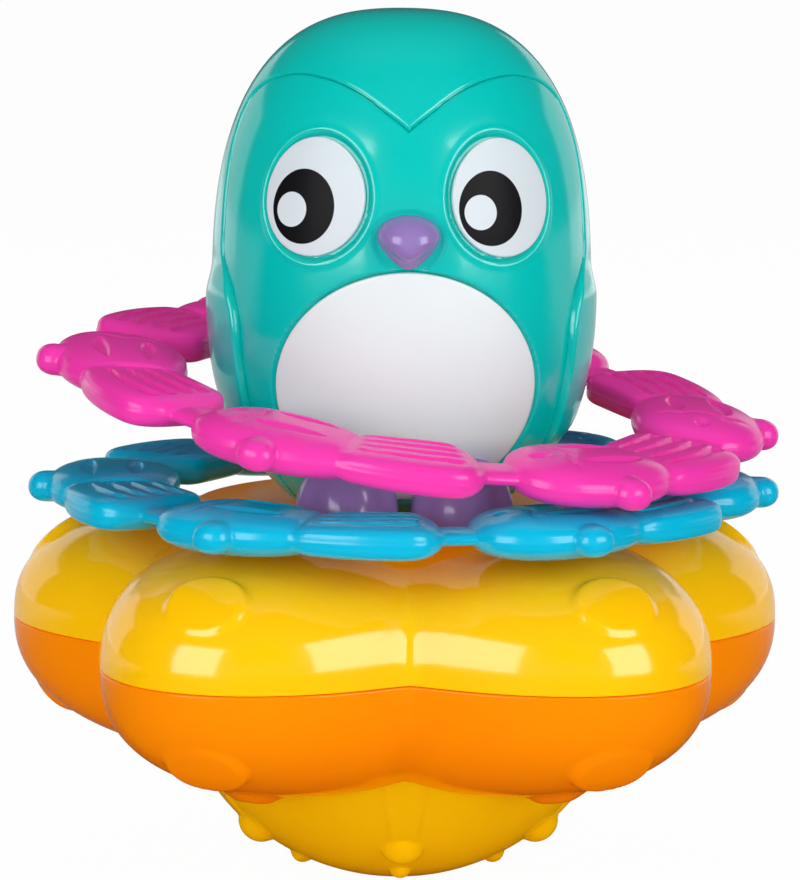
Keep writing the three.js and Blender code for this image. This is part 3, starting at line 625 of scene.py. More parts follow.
def turned_steel(name, rgb):
    """Bare turned steel with fine rings and some tarnish."""
    paint = Paint(name)
    place = paint.place()
    rings = paint.node(
        "ShaderNodeTexWave", {"wave_type": "RINGS", "rings_direction": "Z"},
        {"Vector": place, "Scale": MARK_SCALE, "Distortion": MARK_WAVER},
    )
    tarnish = paint.noise(place, *TARNISH_NOISE)
    base = paint.mix(tarnish, opaque(rgb, TARNISH_SHADE), opaque(rgb))
    normal = paint.node(
        "ShaderNodeBump", {}, {"Strength": MARK_STRENGTH, "Distance": MARK_DEPTH, "Height": rings},
    )
    return paint.finish(
        Base_Color=base, Roughness=tarnish * TARNISH_ROUGHNESS + STEEL_ROUGHNESS,
        Metallic=1.0, Normal=normal,
    )


# Float

FLOAT_COLUMNS = 720
FLOAT_ROWS = 96
LINING_ROWS = 16

# How far turns crowd towards the grooves, and the power by which rows crowd towards the seam
GROOVE_CROWDING = 0.45
SEAM_CROWDING = 1.6

# Flat share of a pad's radius, and where a leaning pad runs out, in radii inwards of its middle
SHOULDER_FLAT = 0.74
UNDER_FLAT = 0.3
RUN_OUT = (-1.0, 0.5)

# Painted shade on the float's top towards the seat, where the rings shade it: its colour, and the radii and
# the depths below the top between which it fades
SEAT_SHADE_COLOUR = (0.95, 0.29, 0.0, 1.0)
SEAT_SHADE_RADII = (50.0 * MM, 69.0 * MM)
SEAT_SHADE_DEPTHS = (13.0 * MM, 4.0 * MM)


def float_turns(s, columns):
    """Turns about the axis, and each turn's softened angle from its petal's middle, where turns crowd."""
    share = TURN / s.petals
    first = -TURN / 4 + share / 2
    even = even_turns(columns)
    turns = first + even - GROOVE_CROWDING * share / TURN * np.sin(even * s.petals)
    half = share / 2
    off = (turns - first + half) % share - half
    soft = np.maximum(0.0, half - np.hypot(half - np.abs(off), s.groove_soft))
    return turns, soft


def petal_rim(s, off, inset=0.0, share=1.0):
    """Radius at which a petal reaches a share of its outline."""
    long = s.petal_length - inset
    wide = s.petal_half_width - inset
    square = (np.cos(off) / long) ** 2 + (np.sin(off) / wide) ** 2
    middle = s.petal_centre * np.cos(off) / long ** 2
    rest = (s.petal_centre / long) ** 2 - share ** 2
    return (middle + np.sqrt(middle ** 2 - square * rest)) / square


def petal_height(s, radius, off, rise, power, inset=0.0):
    """Height of a petal's curve over the seam."""
    along = (radius * np.cos(off) - s.petal_centre) / (s.petal_length - inset)
    aside = radius * np.sin(off) / (s.petal_half_width - inset)
    share = np.clip(np.hypot(along, aside), 0.0, 1.0)
    return (rise - inset) * (1 - share ** power) ** (1 / power)


def petal_rows(s, turns, off, inner, rise, power, side, rows, inset=0.0):
    """Rows of points from the seam over a petal shell to an inner radius; side is 1 above the seam."""
    rim = petal_rim(s, off, inset)
    sweep = np.linspace(0.0, 1.0, rows)[:, None] ** SEAM_CROWDING * math.pi / 2
    reach = np.cos(sweep) ** (2 / power)
    radius = inner + (rim - inner) * reach
    height = petal_height(s, radius, np.broadcast_to(off, radius.shape), rise, power, inset)
    if inset == 0.0:
        radius = radius - edge_fall(height, s.seam_round if side > 0 else s.lip_round)
    return cylinder_points(radius, turns, s.seam_height + side * np.maximum(height, s.seam_gap))


def petal_pads(s, share, rise, power, side, swing):
    """Middle of the pad on each petal."""
    step = TURN / s.petals
    first = -TURN / 4 + step / 2
    middles = []
    for petal in range(s.petals):
        turn = first + petal * step
        off = 0.0
        if petal == 0:
            off = -swing
        elif petal == s.petals - 1:
            off = swing
        radius = petal_rim(s, off, 0.0, share)
        height = petal_height(s, radius, off, rise, power)
        middles.append(cylinder_points(radius, turn + off, s.seam_height + side * height))
    return middles


def raise_pads(grid, centre, middles, radius, stretch, proud, flat, lean, limit):
    """Oval pads raised on a grid, none past the limit radius; the outer edge of a leaning one is flush."""
    normals = grid_normals(grid, centre)
    lift = np.zeros(grid.shape[:2])
    for middle in middles:
        offset = grid - middle
        outward = middle[:2] / np.linalg.norm(middle[:2])
        aside = offset[..., 1] * outward[0] - offset[..., 0] * outward[1]
        apart = np.sqrt(np.sum(offset ** 2, axis=-1) - aside ** 2 + (aside / stretch) ** 2)
        pad = 1 - smooth_step(flat * radius, radius, apart)
        inward = np.linalg.norm(middle[:2]) - np.linalg.norm(grid[..., :2], axis=-1)
        fade = smooth_step(RUN_OUT[0] * radius, RUN_OUT[1] * radius, inward) if lean else 1.0
        lift = np.maximum(lift, proud * pad * fade)
    raised = grid + normals * lift[..., None]
    reach = np.linalg.norm(raised[..., :2], axis=-1)
    raised[..., :2] *= np.minimum(1.0, limit / reach)[..., None]
    return raised


def level_ring(turns, radius, height):
    """A level circle of points."""
    return cylinder_points(np.full_like(turns, radius), turns, height)


def shoulder_pads(s, outer, off, rise, power, side):
    """A shell's outer rows with the oval pads on the petals' shoulders."""
    middles = petal_pads(s, s.shoulder_at, rise, power, side, s.shoulder_swing)
    return raise_pads(
        outer, np.array([0.0, 0.0, s.seam_height]), middles, s.shoulder_radius, s.shoulder_stretch,
        s.shoulder_proud, SHOULDER_FLAT, True, petal_rim(s, off),
    )


def upper_float_mesh(s):
    """Closed shell of the upper half: petals, seat, inner wall."""
    turns, off = float_turns(s, FLOAT_COLUMNS)
    outer = petal_rows(s, turns, off, s.seat_radius, s.upper_rise, s.upper_power, 1, FLOAT_ROWS)
    outer = shoulder_pads(s, outer, off, s.upper_rise, s.upper_power, 1)
    top = s.seam_height + s.upper_rise + s.seat_step
    bevel = s.seat_step / 2
    seat = [
        level_ring(turns, s.seat_radius, top - bevel),
        level_ring(turns, s.seat_radius - bevel, top),
        level_ring(turns, s.seat_hole, top),
        level_ring(turns, s.seat_hole, top - s.wall),
    ]
    inner = petal_rows(s, turns, off, s.seat_hole, s.upper_rise, s.upper_power, 1, LINING_ROWS, s.wall)
    return skin("float_top", np.concatenate([outer, np.array(seat), inner[::-1]]), loop=True)


def lower_float_mesh(s):
    """Closed shell of the lower half: petals, the dome's socket, inner wall."""
    turns, off = float_turns(s, FLOAT_COLUMNS)
    outer = petal_rows(s, turns, off, s.socket_radius, s.lower_drop, s.under_power, -1, FLOAT_ROWS)
    outer = shoulder_pads(s, outer, off, s.lower_drop, s.under_power, -1)
    middles = petal_pads(s, s.under_at, s.lower_drop, s.under_power, -1, 0.0)
    outer = raise_pads(
        outer, np.array([0.0, 0.0, s.seam_height]), middles, s.under_radius, 1.0,
        s.under_proud, UNDER_FLAT, False, petal_rim(s, off),
    )
    floor = s.socket_height
    inside = s.socket_radius + s.wall
    socket = [
        level_ring(turns, s.socket_radius, floor),
        level_ring(turns, s.seat_hole, floor),
        level_ring(turns, s.seat_hole, floor + s.wall),
        level_ring(turns, inside, floor + s.wall),
    ]
    inner = petal_rows(s, turns, off, inside, s.lower_drop, s.under_power, -1, LINING_ROWS, s.wall)
    return skin("float_bottom", np.concatenate([outer, np.array(socket), inner[::-1]]), loop=True)


def painted_seat_shade(s):
    """Painted shade: a deeper orange on the float's top towards the seat, where the rings shade it."""
    def picture(paint, place, base):
        x, y, z = paint.axes(place)
        reach = paint.node("ShaderNodeMath", {"operation": "SQRT"}, {0: x * x + y * y})
        top = s.seam_height + s.upper_rise
        near = paint.ramp(reach, *SEAT_SHADE_RADII, 1.0, 0.0)
        high = paint.ramp(z, *(top - depth for depth in SEAT_SHADE_DEPTHS), 0.0, 1.0)
        return paint.mix(near * high, base, SEAT_SHADE_COLOUR)
    return picture


class STACKER_OT_float(bpy.types.Operator):
    """Make the yellow and orange petal shells"""
    bl_idname = "stacker.float"
    bl_label = "Petal Float"

    def execute(self, context):
        s = context.scene.stacker_float
        colours = context.scene.stacker_colours
        # The yellow carries painted shade towards the seat, under the rings
        yellow = moulded_plastic("yellow_moulding", colours, "yellow", painted_seat_shade(s))
        orange = moulded_plastic("orange_moulding", colours, "orange")
        show("float_top", upper_float_mesh(s), yellow, FLOAT_BODY, "yellow_plastic", "float_upper_shell")
        show("float_bottom", lower_float_mesh(s), orange, FLOAT_BODY, "orange_plastic", "float_lower_shell")
        return {"FINISHED"}


# Keel dome

DOME_COLUMNS = 97
DOME_ROWS = 90
DOME_LINING_ROWS = 24

# Roundness of lumps and beads, a tongue's flat share and its half width at the lump in the lump's radii
BUMP_POWER = 0.7
TONGUE_FLAT = 0.7
TONGUE_END = 0.7

# Tilt over which a tongue rises at the rim, radius left open at the axis, and where the lining starts
TONGUE_FADE = math.radians(5)
AXIS_GAP = 0.4 * MM
LINING_START = 0.9


def dome_sector(s, petals):
    """One sector of the dome about a tongue, as closed sections."""
    half = TURN / petals / 2
    turns = np.linspace(-half, half, DOME_COLUMNS)[:, None]
    rise = s.ball_radius * math.cos(math.asin(s.foot_radius / s.ball_radius))
    rim_tilt = math.acos((rise - s.top_height) / s.ball_radius)
    foot_tilt = math.asin(s.foot_radius / s.ball_radius)
    tilt = np.linspace(rim_tilt, foot_tilt, DOME_ROWS)[None, :]
    aside = s.ball_radius * np.sin(tilt) * np.abs(turns)

    def bump(radius, proud, from_tilt):
        apart = np.hypot(aside, s.ball_radius * (tilt - from_tilt))
        share = np.clip(apart / radius, 0.0, 1.0)
        return proud * (1 - share ** 2) ** BUMP_POWER

    down = smooth_step(rim_tilt, s.lump_at, tilt)
    width = s.tongue_width + (TONGUE_END * s.lump_radius - s.tongue_width) * down
    ridge = 1 - smooth_step(TONGUE_FLAT * width, width, aside)
    lift = s.tongue_proud * ridge * (tilt > s.lump_at)
    lift = lift * smooth_step(rim_tilt, rim_tilt - TONGUE_FADE, tilt)
    lift = np.maximum(lift, bump(s.lump_radius, s.lump_proud, s.lump_at))
    lift = np.maximum(lift, bump(s.bead_radius, s.bead_proud, s.bead_at))
    ball = s.ball_radius + lift
    outer = cylinder_points(ball * np.sin(tilt), turns, rise - ball * np.cos(tilt))
    flat = cylinder_points(np.full_like(turns, AXIS_GAP), turns, 0.0)
    lid = cylinder_points(np.full_like(turns, AXIS_GAP), turns, s.wall)
    inside = s.ball_radius - s.wall
    tilt_in = np.linspace(foot_tilt * LINING_START, rim_tilt, DOME_LINING_ROWS)[None, :]
    lining = cylinder_points(inside * np.sin(tilt_in), turns, rise - inside * np.cos(tilt_in))
    lining[..., 2] = np.clip(lining[..., 2], s.wall, s.top_height)
    return np.concatenate([outer, flat, lid, lining], axis=1)


class STACKER_OT_keel(bpy.types.Operator):
    """Make the dome under the float, with its tongues and beads"""
    bl_idname = "stacker.keel"
    bl_label = "Keel Dome"

    def execute(self, context):
        s = context.scene.stacker_keel
        petals = context.scene.stacker_float.petals
        colours = context.scene.stacker_colours
        yellow = moulded_plastic("dome_moulding", colours, "dome_yellow")
        sector = skin("dome_sector", dome_sector(s, petals))
        mesh = repeated(sector, petals, -TURN / 4, yellow)
        show("dome", mesh, yellow, FLOAT_BODY, "yellow_plastic", "keel_dome")
        return {"FINISHED"}


# Bird

# Right half of the face's edge in millimetres, as (aside, height over the base), from the brow's tip down
FACE_EDGE = (
    (0.0, 78.2), (4.9, 82.0), (10.2, 85.6), (16.0, 87.8), (21.5, 88.3), (26.0, 87.0), (29.4, 84.3),
    (31.6, 80.6), (33.6, 75.0), (35.1, 66.5), (35.8, 57.5), (35.9, 51.6), (34.4, 46.0), (33.0, 39.5),
    (32.0, 29.5), (27.2, 12.0), (20.0, 1.0), (14.0, -6.0), (0.0, -16.0),
)

# Largest share of the body's outline that the face's edge reaches
FACE_INSIDE = 0.985

BIRD_COLUMNS = 420
BIRD_ROWS = 200
PLATE_COLUMNS = 160
PLATE_ROWS = 40

# How far meridians crowd towards the brow's tip, and the power by which rows crowd towards an edge
BROW_CROWDING = 0.5
EDGE_CROWDING = 1.3

# Share of its reach at which a shell or an inlay starts, and a lining's step in rows and extra depth
SHELL_START = 0.02
PLATE_START = 0.03
LINING_STEP = 8
LINING_EXTRA = 0.6 * MM

# Halvings that find a point of the body and its edges, the farthest point, and the tilts searched
HIT_STEPS = 34
EDGE_STEPS = 30
HIT_LIMIT = 0.15
TILT_MARGIN = 0.02
EDGE_NUDGE = 1e-4
FRONT_LIMIT = math.pi * 0.62

# Share of its depth that the parting groove has down the wings, and the heights between which it grows
PARTING_LOW = 0.35
PARTING_HEIGHTS = (22.0 * MM, 48.0 * MM)

# Recesses for inlays: depth, and the share of their width that is flat
INLAY_SINK = 1.3 * MM
EYE_FLOOR = 0.25
BELLY_FLOOR = 0.1

# Crest round an eye: rise, then place and width in widths of the recess
CREST_RISE = 0.18 * MM
CREST_PLACE = 1.25
CREST_WIDTH = 0.45

# Seat of the beak, slope of a wing's edge, and the height over which the back shell meets its base
BEAK_SEAT = (0.1 * MM, 1.3 * MM)
BEAK_SEAT_SINK = 0.5 * MM
WING_SLOPE = (-7.0 * MM, 0.4 * MM)
BASE_FADE = 2.0 * MM

# Crown of an inlay and radius of its edge
EYE_CROWN = 0.05 * MM
EYE_EDGE = 0.35 * MM
BELLY_CROWN = 0.1 * MM
BELLY_EDGE = 0.5 * MM


def bird_level(s, height):
    """Share of its full width that the body has at a height over the base."""
    above = height >= s.waist
    reach = np.where(above, s.height - s.waist, s.lower_reach)
    power = np.where(above, s.head_power, s.lower_power)
    share = np.clip(np.abs(height - s.waist) / reach, 0.0, 1.0)
    return (1 - share ** power) ** (1 / power)


def bird_front(s, aside, height):
    """Depth of the body's front surface, less than 0."""
    full = np.maximum(bird_level(s, height), 1e-6)
    share = np.clip(aside / (s.half_width * full), -1.0, 1.0)
    return -s.half_depth * full * np.sqrt(1 - share ** 2)


def bird_hit(s, spin, tilt):
    """Where rays from the face's middle leave the body; spin is about the line of sight, tilt from it."""
    spin, tilt = np.broadcast_arrays(spin, tilt)
    ray = points_of(np.sin(tilt) * np.cos(spin), -np.cos(tilt), np.sin(tilt) * np.sin(spin))
    low = np.zeros(spin.shape)
    high = np.full(spin.shape, HIT_LIMIT)
    for _ in range(HIT_STEPS):
        reach = (low + high) / 2
        height = s.middle + reach * ray[..., 2]
        full = np.maximum(bird_level(s, height), 1e-9)
        share = np.hypot(reach * ray[..., 0] / s.half_width, reach * ray[..., 1] / s.half_depth) / full
        inside = (share < 1) & (height > 0) & (height < s.height)
        low = np.where(inside, reach, low)
        high = np.where(inside, high, reach)
    point = low[..., None] * ray
    point[..., 2] += s.middle
    return point


def face_reach(s, spin):
    """Distance from the face's middle to its edge, seen from the front."""
    edge = np.array(FACE_EDGE) * MM
    turn = np.arctan2(edge[:, 1] - s.middle, edge[:, 0])
    reach = np.hypot(edge[:, 0], edge[:, 1] - s.middle)
    order = np.argsort(turn)
    folded = np.arcsin(np.sin(spin))
    outline = np.linalg.norm(bird_hit(s, spin, math.pi / 2) - (0.0, 0.0, s.middle), axis=-1)
    return np.minimum(smooth_through(turn[order], reach[order], folded), FACE_INSIDE * outline)


def smooth_through(places, values, wanted):
    """A smooth curve through points, with even slopes."""
    step = np.diff(places)
    rise = np.diff(values) / step
    slope = np.empty_like(values)
    slope[1:-1] = (rise[:-1] * step[1:] + rise[1:] * step[:-1]) / (step[1:] + step[:-1])
    slope[0] = rise[0]
    slope[-1] = rise[-1]
    index = np.clip(np.searchsorted(places, wanted) - 1, 0, len(step) - 1)
    share = (wanted - places[index]) / step[index]
    rest = 1 - share
    start = (1 + 2 * share) * rest ** 2 * values[index]
    end = share ** 2 * (3 - 2 * share) * values[index + 1]
    lean = share * rest ** 2 * slope[index] - share ** 2 * rest * slope[index + 1]
    return start + end + step[index] * lean


def halved(past, low, high):
    """Tilts just before and just after the place where a test starts to hold."""
    for _ in range(EDGE_STEPS):
        tilt = (low + high) / 2
        found = past(tilt)
        high = np.where(found, tilt, high)
        low = np.where(found, low, tilt)
    return low, high


def face_tilts(s, spin):
    """Tilts at which the front shell ends and the back shell starts on each meridian."""
    reach = face_reach(s, spin)
    floor = 1e-6

    def leaves_face(tilt):
        point = bird_hit(s, spin, tilt)
        return (np.hypot(point[..., 0], point[..., 2] - s.middle) >= reach) | (point[..., 2] < floor)

    def over_base(tilt):
        return bird_hit(s, spin, tilt)[..., 2] >= floor

    front_low, front_high = halved(leaves_face, TILT_MARGIN, FRONT_LIMIT)
    back_high = halved(over_base, math.pi / 2, math.pi - TILT_MARGIN)[1]
    base = ~over_base(front_high + EDGE_NUDGE)
    return front_low, np.where(base, back_high, front_low), base


def bird_spins(columns):
    """Meridians' spins, closer together near the brow's tip."""
    even = even_turns(columns) + TURN / 4
    return even - BROW_CROWDING * np.sin(even - TURN / 4)


def parting_fall(s, grid, edge):
    """How far the shells' edges fall into the parting groove, which grows shallow down the wings."""
    depth = PARTING_LOW + (1 - PARTING_LOW) * smooth_step(*PARTING_HEIGHTS, grid[..., 2])
    return depth * edge_fall(distance_to(grid, edge), s.groove)


def front_lift(s, grid, edge):
    """How far the face's surface moves out: edges, eye and belly recesses, the beak's seat."""
    lift = -parting_fall(s, grid, edge)
    turn = np.arctan2(grid[..., 0], -grid[..., 1])
    up = grid[..., 2]
    around = np.hypot(grid[..., 0], grid[..., 1])
    ahead = grid[..., 1] < 0
    for side in (-1, 1):
        aside = (turn - side * s.eye_at) * around
        gap = oval_distance(aside, up - s.eye_height, s.eye_half_turn * around, s.eye_half_height)
        sink = 1 - smooth_step(EYE_FLOOR * s.eye_recess, s.eye_recess, gap)
        crest = np.exp(-((gap - CREST_PLACE * s.eye_recess) / (CREST_WIDTH * s.eye_recess)) ** 2)
        lift = lift + np.where(ahead, CREST_RISE * crest - INLAY_SINK * sink, 0.0)
    gap = oval_distance(grid[..., 0], up - s.belly_height, s.belly_half_width, s.belly_half_height)
    sink = 1 - smooth_step(BELLY_FLOOR * s.belly_recess, s.belly_recess, gap)
    lift = lift - np.where(ahead, INLAY_SINK * sink, 0.0)
    reach = np.where(up > s.middle, s.beak_rise, s.beak_drop)
    gap = oval_distance(grid[..., 0], up - s.middle, s.beak_half_width, reach)
    sink = 1 - smooth_step(*BEAK_SEAT, gap)
    return lift - np.where(ahead, BEAK_SEAT_SINK * sink, 0.0)


def back_lift(s, grid, edge):
    """How far the back shell's surface moves out: the hood's step, its rounded edge and the wings."""
    lift = s.hood_proud - parting_fall(s, grid, edge)
    turn = np.arctan2(np.abs(grid[..., 0]), -grid[..., 1])
    around = np.hypot(grid[..., 0], grid[..., 1])
    aside = (turn - s.wing_at) * around
    up = grid[..., 2]
    gap = oval_distance(aside, up - s.wing_height, s.wing_half_turn * around, s.wing_half_height)
    lift = lift + s.wing_proud * (1 - smooth_step(*WING_SLOPE, gap))
    return lift * smooth_step(0.0, BASE_FADE, up)


def bird_shell(s, name, spin, tilts, edge, lift_of):
    """A closed shell over rows of meridian points, with an inner wall."""
    outer = bird_hit(s, spin[None, :], tilts)
    middle = np.array([0.0, 0.0, s.middle])
    normals = grid_normals(outer, middle)
    raised = outer + normals * lift_of(s, outer, edge)[..., None]
    raised[..., 2] = np.maximum(raised[..., 2], 0.0)
    ray = outer - middle
    reach = np.linalg.norm(ray, axis=-1, keepdims=True)
    inner = middle + ray * (1 - (s.wall + LINING_EXTRA) / reach)
    inner[..., 2] = np.maximum(inner[..., 2], 0.0)
    lining = thinned(inner)
    return skin(name, np.concatenate([raised, lining]), caps=True)


def thinned(rows):
    """The last row and some of the others, from the last to the first."""
    return np.concatenate([rows[-1:], rows[-1 - LINING_STEP::-LINING_STEP]])


def crowded(rows, first):
    """Shares from first to 1, closer together near 1."""
    even = np.linspace(0.0, 1.0, rows)
    return first + (1 - first) * (1 - (1 - even) ** EDGE_CROWDING)


class STACKER_OT_bird(bpy.types.Operator):
    """Make the bird's front and back shells"""
    bl_idname = "stacker.bird"
    bl_label = "Bird Shells"

    def execute(self, context):
        s = context.scene.stacker_bird
        colours = context.scene.stacker_colours
        teal = moulded_plastic("teal_moulding", colours, "teal")
        spin = bird_spins(BIRD_COLUMNS)
        front_end, back_start, base = face_tilts(s, spin)
        edge = bird_hit(s, spin, front_end)[~base]
        shares = crowded(BIRD_ROWS, SHELL_START)[:, None]
        front_tilts = front_end * shares
        back_tilts = math.pi - (math.pi - back_start) * shares
        front = bird_shell(s, "bird_face", spin, front_tilts, edge, front_lift)
        back = bird_shell(s, "bird_hood", spin, back_tilts, edge, back_lift)
        show_on_base("bird_face", front, teal, "teal_plastic", "bird_front_shell")
        show_on_base("bird_hood", back, teal, "teal_plastic", "bird_back_shell")
        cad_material(teal, "bird_base_plate")
        return {"FINISHED"}


def bird_base():
    """Height of the bird's base."""
    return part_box("bird_base_plate")[0][2]


def show_on_base(name, mesh, material, slot, node):
    """A finished piece of the bird, from a mesh laid out over its base."""
    mesh.transform(Matrix.Translation((0.0, 0.0, bird_base())))
    show(name, mesh, material, FLOAT_BODY, slot, node)


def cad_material(material, *nodes):
    """A material on CAD nodes that stay shown."""
    for node in nodes:
        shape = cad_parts[node].data
        shape.materials.clear()
        shape.materials.append(material)


def plate_mesh(s, name, oval, thickness, crown, edge_round):
    """An inlay that follows the body; oval gives points (aside, height) for shares and turns."""
    turns = even_turns(PLATE_COLUMNS)
    shares = crowded(PLATE_ROWS, PLATE_START)[:, None]
    aside, height, fall_from = oval(shares, turns[None, :])
    depth = bird_front(s, aside, height)
    outer = points_of(aside, depth, height)
    normals = grid_normals(outer, np.array([0.0, 0.0, s.waist]))
    lift = crown * (1 - shares ** 2) - edge_fall(fall_from, edge_round)
    top = outer + normals * lift[..., None]
    under = outer - normals * thickness
    return skin(name, np.concatenate([top, thinned(under)]), caps=True)


def eye_oval(s, side):
    """Shares and turns of an eye's oval to points on the body."""
    def points(shares, turns):
        height = s.eye_height + s.eye_half_height * shares * np.sin(turns)
        turn = side * s.eye_at + s.eye_half_turn * shares * np.cos(turns)
        around = bird_level(s, height) * s.half_width
        aside = around * np.sin(turn)
        return aside, height, (1 - shares) * s.eye_half_height + 0 * turns
    return points


def belly_oval(s):
    """Shares and turns of the belly's oval to points on the body."""
    def points(shares, turns):
        aside = s.belly_half_width * shares * np.cos(turns)
        height = s.belly_height + s.belly_half_height * shares * np.sin(turns)
        return aside, height, (1 - shares) * s.belly_half_height + 0 * turns
    return points


# Prints on an eye: moved aside, half turn, drop and half height, and the softness of their edges
PUPIL = (math.radians(-3.95), math.radians(11.2), 2.0 * MM, 7.3 * MM)
GLINT = (math.radians(-7.85), math.radians(5.5), 2.7 * MM, 3.4 * MM)
PRINT_SOFT = 0.012


def eye_print(s, side, base_height, white, black):
    """A pupil and a glint printed on an eye, both moved to the bird's right."""
    def picture(paint, place, base):
        x, y, z = paint.axes(place)
        turn = paint.node("ShaderNodeMath", {"operation": "ARCTAN2"}, {0: x, 1: 0 - y})

        def oval(move, half_turn, drop, half_height):
            aside = (turn - (side * s.eye_at + move)) / half_turn
            up = (z - (base_height + s.eye_height - drop)) / half_height
            return paint.ramp(aside * aside + up * up, 1 - PRINT_SOFT, 1 + PRINT_SOFT, 1.0, 0.0)

        dark = paint.mix(oval(*PUPIL), base, opaque(black))
        return paint.mix(oval(*GLINT), dark, opaque(white))

    return picture


class STACKER_OT_inlays(bpy.types.Operator):
    """Make the eyes and the belly panel"""
    bl_idname = "stacker.inlays"
    bl_label = "Eyes and Belly"

    def execute(self, context):
        s = context.scene.stacker_bird
        colours = context.scene.stacker_colours
        for name, side in (("eye_left", 1), ("eye_right", -1)):
            picture = eye_print(s, side, bird_base(), colours.eye_white, colours.black)
            white = moulded_plastic(name + "_print", colours, "eye_white", picture)
            mesh = plate_mesh(s, name + "_inlay", eye_oval(s, side), s.inlay, EYE_CROWN, EYE_EDGE)
            show_on_base(name + "_inlay", mesh, white, "white_plastic", name)
        white = moulded_plastic("belly_white", colours, "belly_white")
        mesh = plate_mesh(s, "belly_inlay", belly_oval(s), s.inlay, BELLY_CROWN, BELLY_EDGE)
        show_on_base("belly_inlay", mesh, white, "white_plastic", "belly_panel")
        return {"FINISHED"}


BEAK_AROUND = 96
BEAK_ROWS = 44

# Share of a quarter turn at which rounded ends stop short of a point
ROUND_END = 0.985

# Beak: roundness along it and at its top, taper to its tip, droop, undercut, and how deep it sits
BEAK_ROUND = 0.82
BEAK_TOP_ROUND = 0.92
BEAK_TAPER = 0.42
BEAK_TAPER_POWER = 1.35
BEAK_DROOP = 1.1 * MM
BEAK_UNDERCUT = 1.2
BEAK_RIM = 0.9 * MM
BEAK_ROOT = 1.4 * MM

# Ledge under the beak: depth, place and width as shares
LEDGE_DEPTH = 0.16
LEDGE_PLACE = 0.42
LEDGE_WIDTH = 0.16


def beak_mesh(s):
    """A rounded wedge that points down, on the curve of the face."""
    turns = even_turns(BEAK_AROUND)
    rows = np.linspace(0.0, 1.0, BEAK_ROWS)[:, None]
    size = np.cos(rows * math.pi / 2 * ROUND_END) ** BEAK_ROUND
    up = np.sin(turns)
    below = np.clip(-up, 0.0, 1.0)
    narrow = 1 - BEAK_TAPER * below ** BEAK_TAPER_POWER
    wide = s.beak_half_width * np.cos(turns) * narrow
    tall = np.where(up > 0, s.beak_rise * signed_power(up, BEAK_TOP_ROUND), s.beak_drop * up)
    ledge = 1 - LEDGE_DEPTH * np.exp(-((rows - LEDGE_PLACE) / LEDGE_WIDTH) ** 2) * below
    aside = wide * size * ledge
    height = s.middle + tall * size * ledge - BEAK_DROOP * rows ** 2
    proud = s.beak_proud * np.sin(rows * math.pi / 2) ** (1 + BEAK_UNDERCUT * below)
    depth = bird_front(s, wide * size, s.middle + tall * size) - proud + BEAK_RIM * (rows == 0)
    outer = points_of(aside, depth, height)
    back = outer[:1].copy()
    back[..., 1] += BEAK_ROOT
    return skin("beak_wedge", np.concatenate([back, outer]), caps=True)


FOOT_AROUND = 180
FOOT_ROWS = 60

# Foot: where its top closes, fullness from above and from the side, and the size of its sole
FOOT_END = 0.98
FOOT_FULLNESS = 2.3
FOOT_SIDE_FULLNESS = 2.5
SOLE_SHARE = 0.3

# Toes: spacing, depth of the notches between them, where they start and where they are full
TOE_SPACING = 0.95
TOE_NOTCH = 0.15
TOE_RANGE = (0.25, 0.75)


def foot_mesh(s, side):
    """A mound with soft toes along its front edge."""
    turns = even_turns(FOOT_AROUND)
    rise = np.linspace(0.0, 1.0, FOOT_ROWS)[:, None] * math.pi / 2 * FOOT_END
    ahead = np.clip(-np.sin(turns), 0.0, 1.0)
    toe_turn = (turns - 0.75 * TURN) * s.toes * TOE_SPACING
    toes = 0.5 + 0.5 * np.cos(toe_turn)
    low = np.sqrt(np.cos(rise))
    notch = TOE_NOTCH * (1 - toes) * smooth_step(*TOE_RANGE, ahead) * low
    flat = np.cos(rise) ** (2 / FOOT_SIDE_FULLNESS) * (1 - notch)
    aside = s.foot_half_width * signed_power(np.cos(turns), 2 / FOOT_FULLNESS) * flat
    forward = s.foot_reach * signed_power(np.sin(turns), 2 / FOOT_FULLNESS) * flat
    height = s.foot_height * np.sin(rise) ** (2 / FOOT_FULLNESS) + 0 * turns
    middle = np.array([side * s.foot_spread, -s.foot_middle, 0.0])
    points = middle + points_of(aside, forward, height)
    sole = middle + (points[:1] - middle) * (SOLE_SHARE, SOLE_SHARE, 0.0)
    return skin("foot_mound", np.concatenate([sole, points]), caps=True)


class STACKER_OT_beak_and_feet(bpy.types.Operator):
    """Make the beak and the feet"""
    bl_idname = "stacker.beak_and_feet"
    bl_label = "Beak and Feet"

    def execute(self, context):
        s = context.scene.stacker_bird
        purple = moulded_plastic("purple_moulding", context.scene.stacker_colours, "purple")
        pieces = (
            ("beak_wedge", beak_mesh(s), "beak"),
            ("foot_mound_left", foot_mesh(s, 1), "foot_left"),
            ("foot_mound_right", foot_mesh(s, -1), "foot_right"),
        )
        for name, mesh, node in pieces:
            show_on_base(name, mesh, purple, "purple_plastic", node)
        return {"FINISHED"}


# Rings

FISH_STATIONS = 99
FISH_AROUND = 160
SECTION_STEPS = 721

# Places along a fish, in degrees from its nose, where six fish fill a ring
FISH_SPAN = 60.0
NOSE = 0.8
SHOULDER = 15.6
BODY_END = 34.9
WAIST = 30.3
FAN_FULL = 46.0
FAN_END = 47.5
TAIL_END = 55.6
EYE_PLACE = 6.8
GILL_PLACE = 11.2
LEAF_START = 13.6
LEAF_SPAN = 13.0
GROOVE_START = 32.3
GROOVE_SPAN = 18.9
TAIL_OPENING = (WAIST - 1.0, WAIST + 3.0)
TAIL_CLOSING = (FAN_END + 3.0, TAIL_END)

# Fullness of a fish from above, from the side and in section, and what its tail adds in section
PLAN_FULLNESS = 2.3
SIDE_FULLNESS = 2.6
SECTION_FULLNESS = 2.5
TAIL_FULLNESS = 1.5

# Roundness of the fan where it opens and where it closes
FAN_OPENING = 0.55
FAN_CLOSING = 2.4

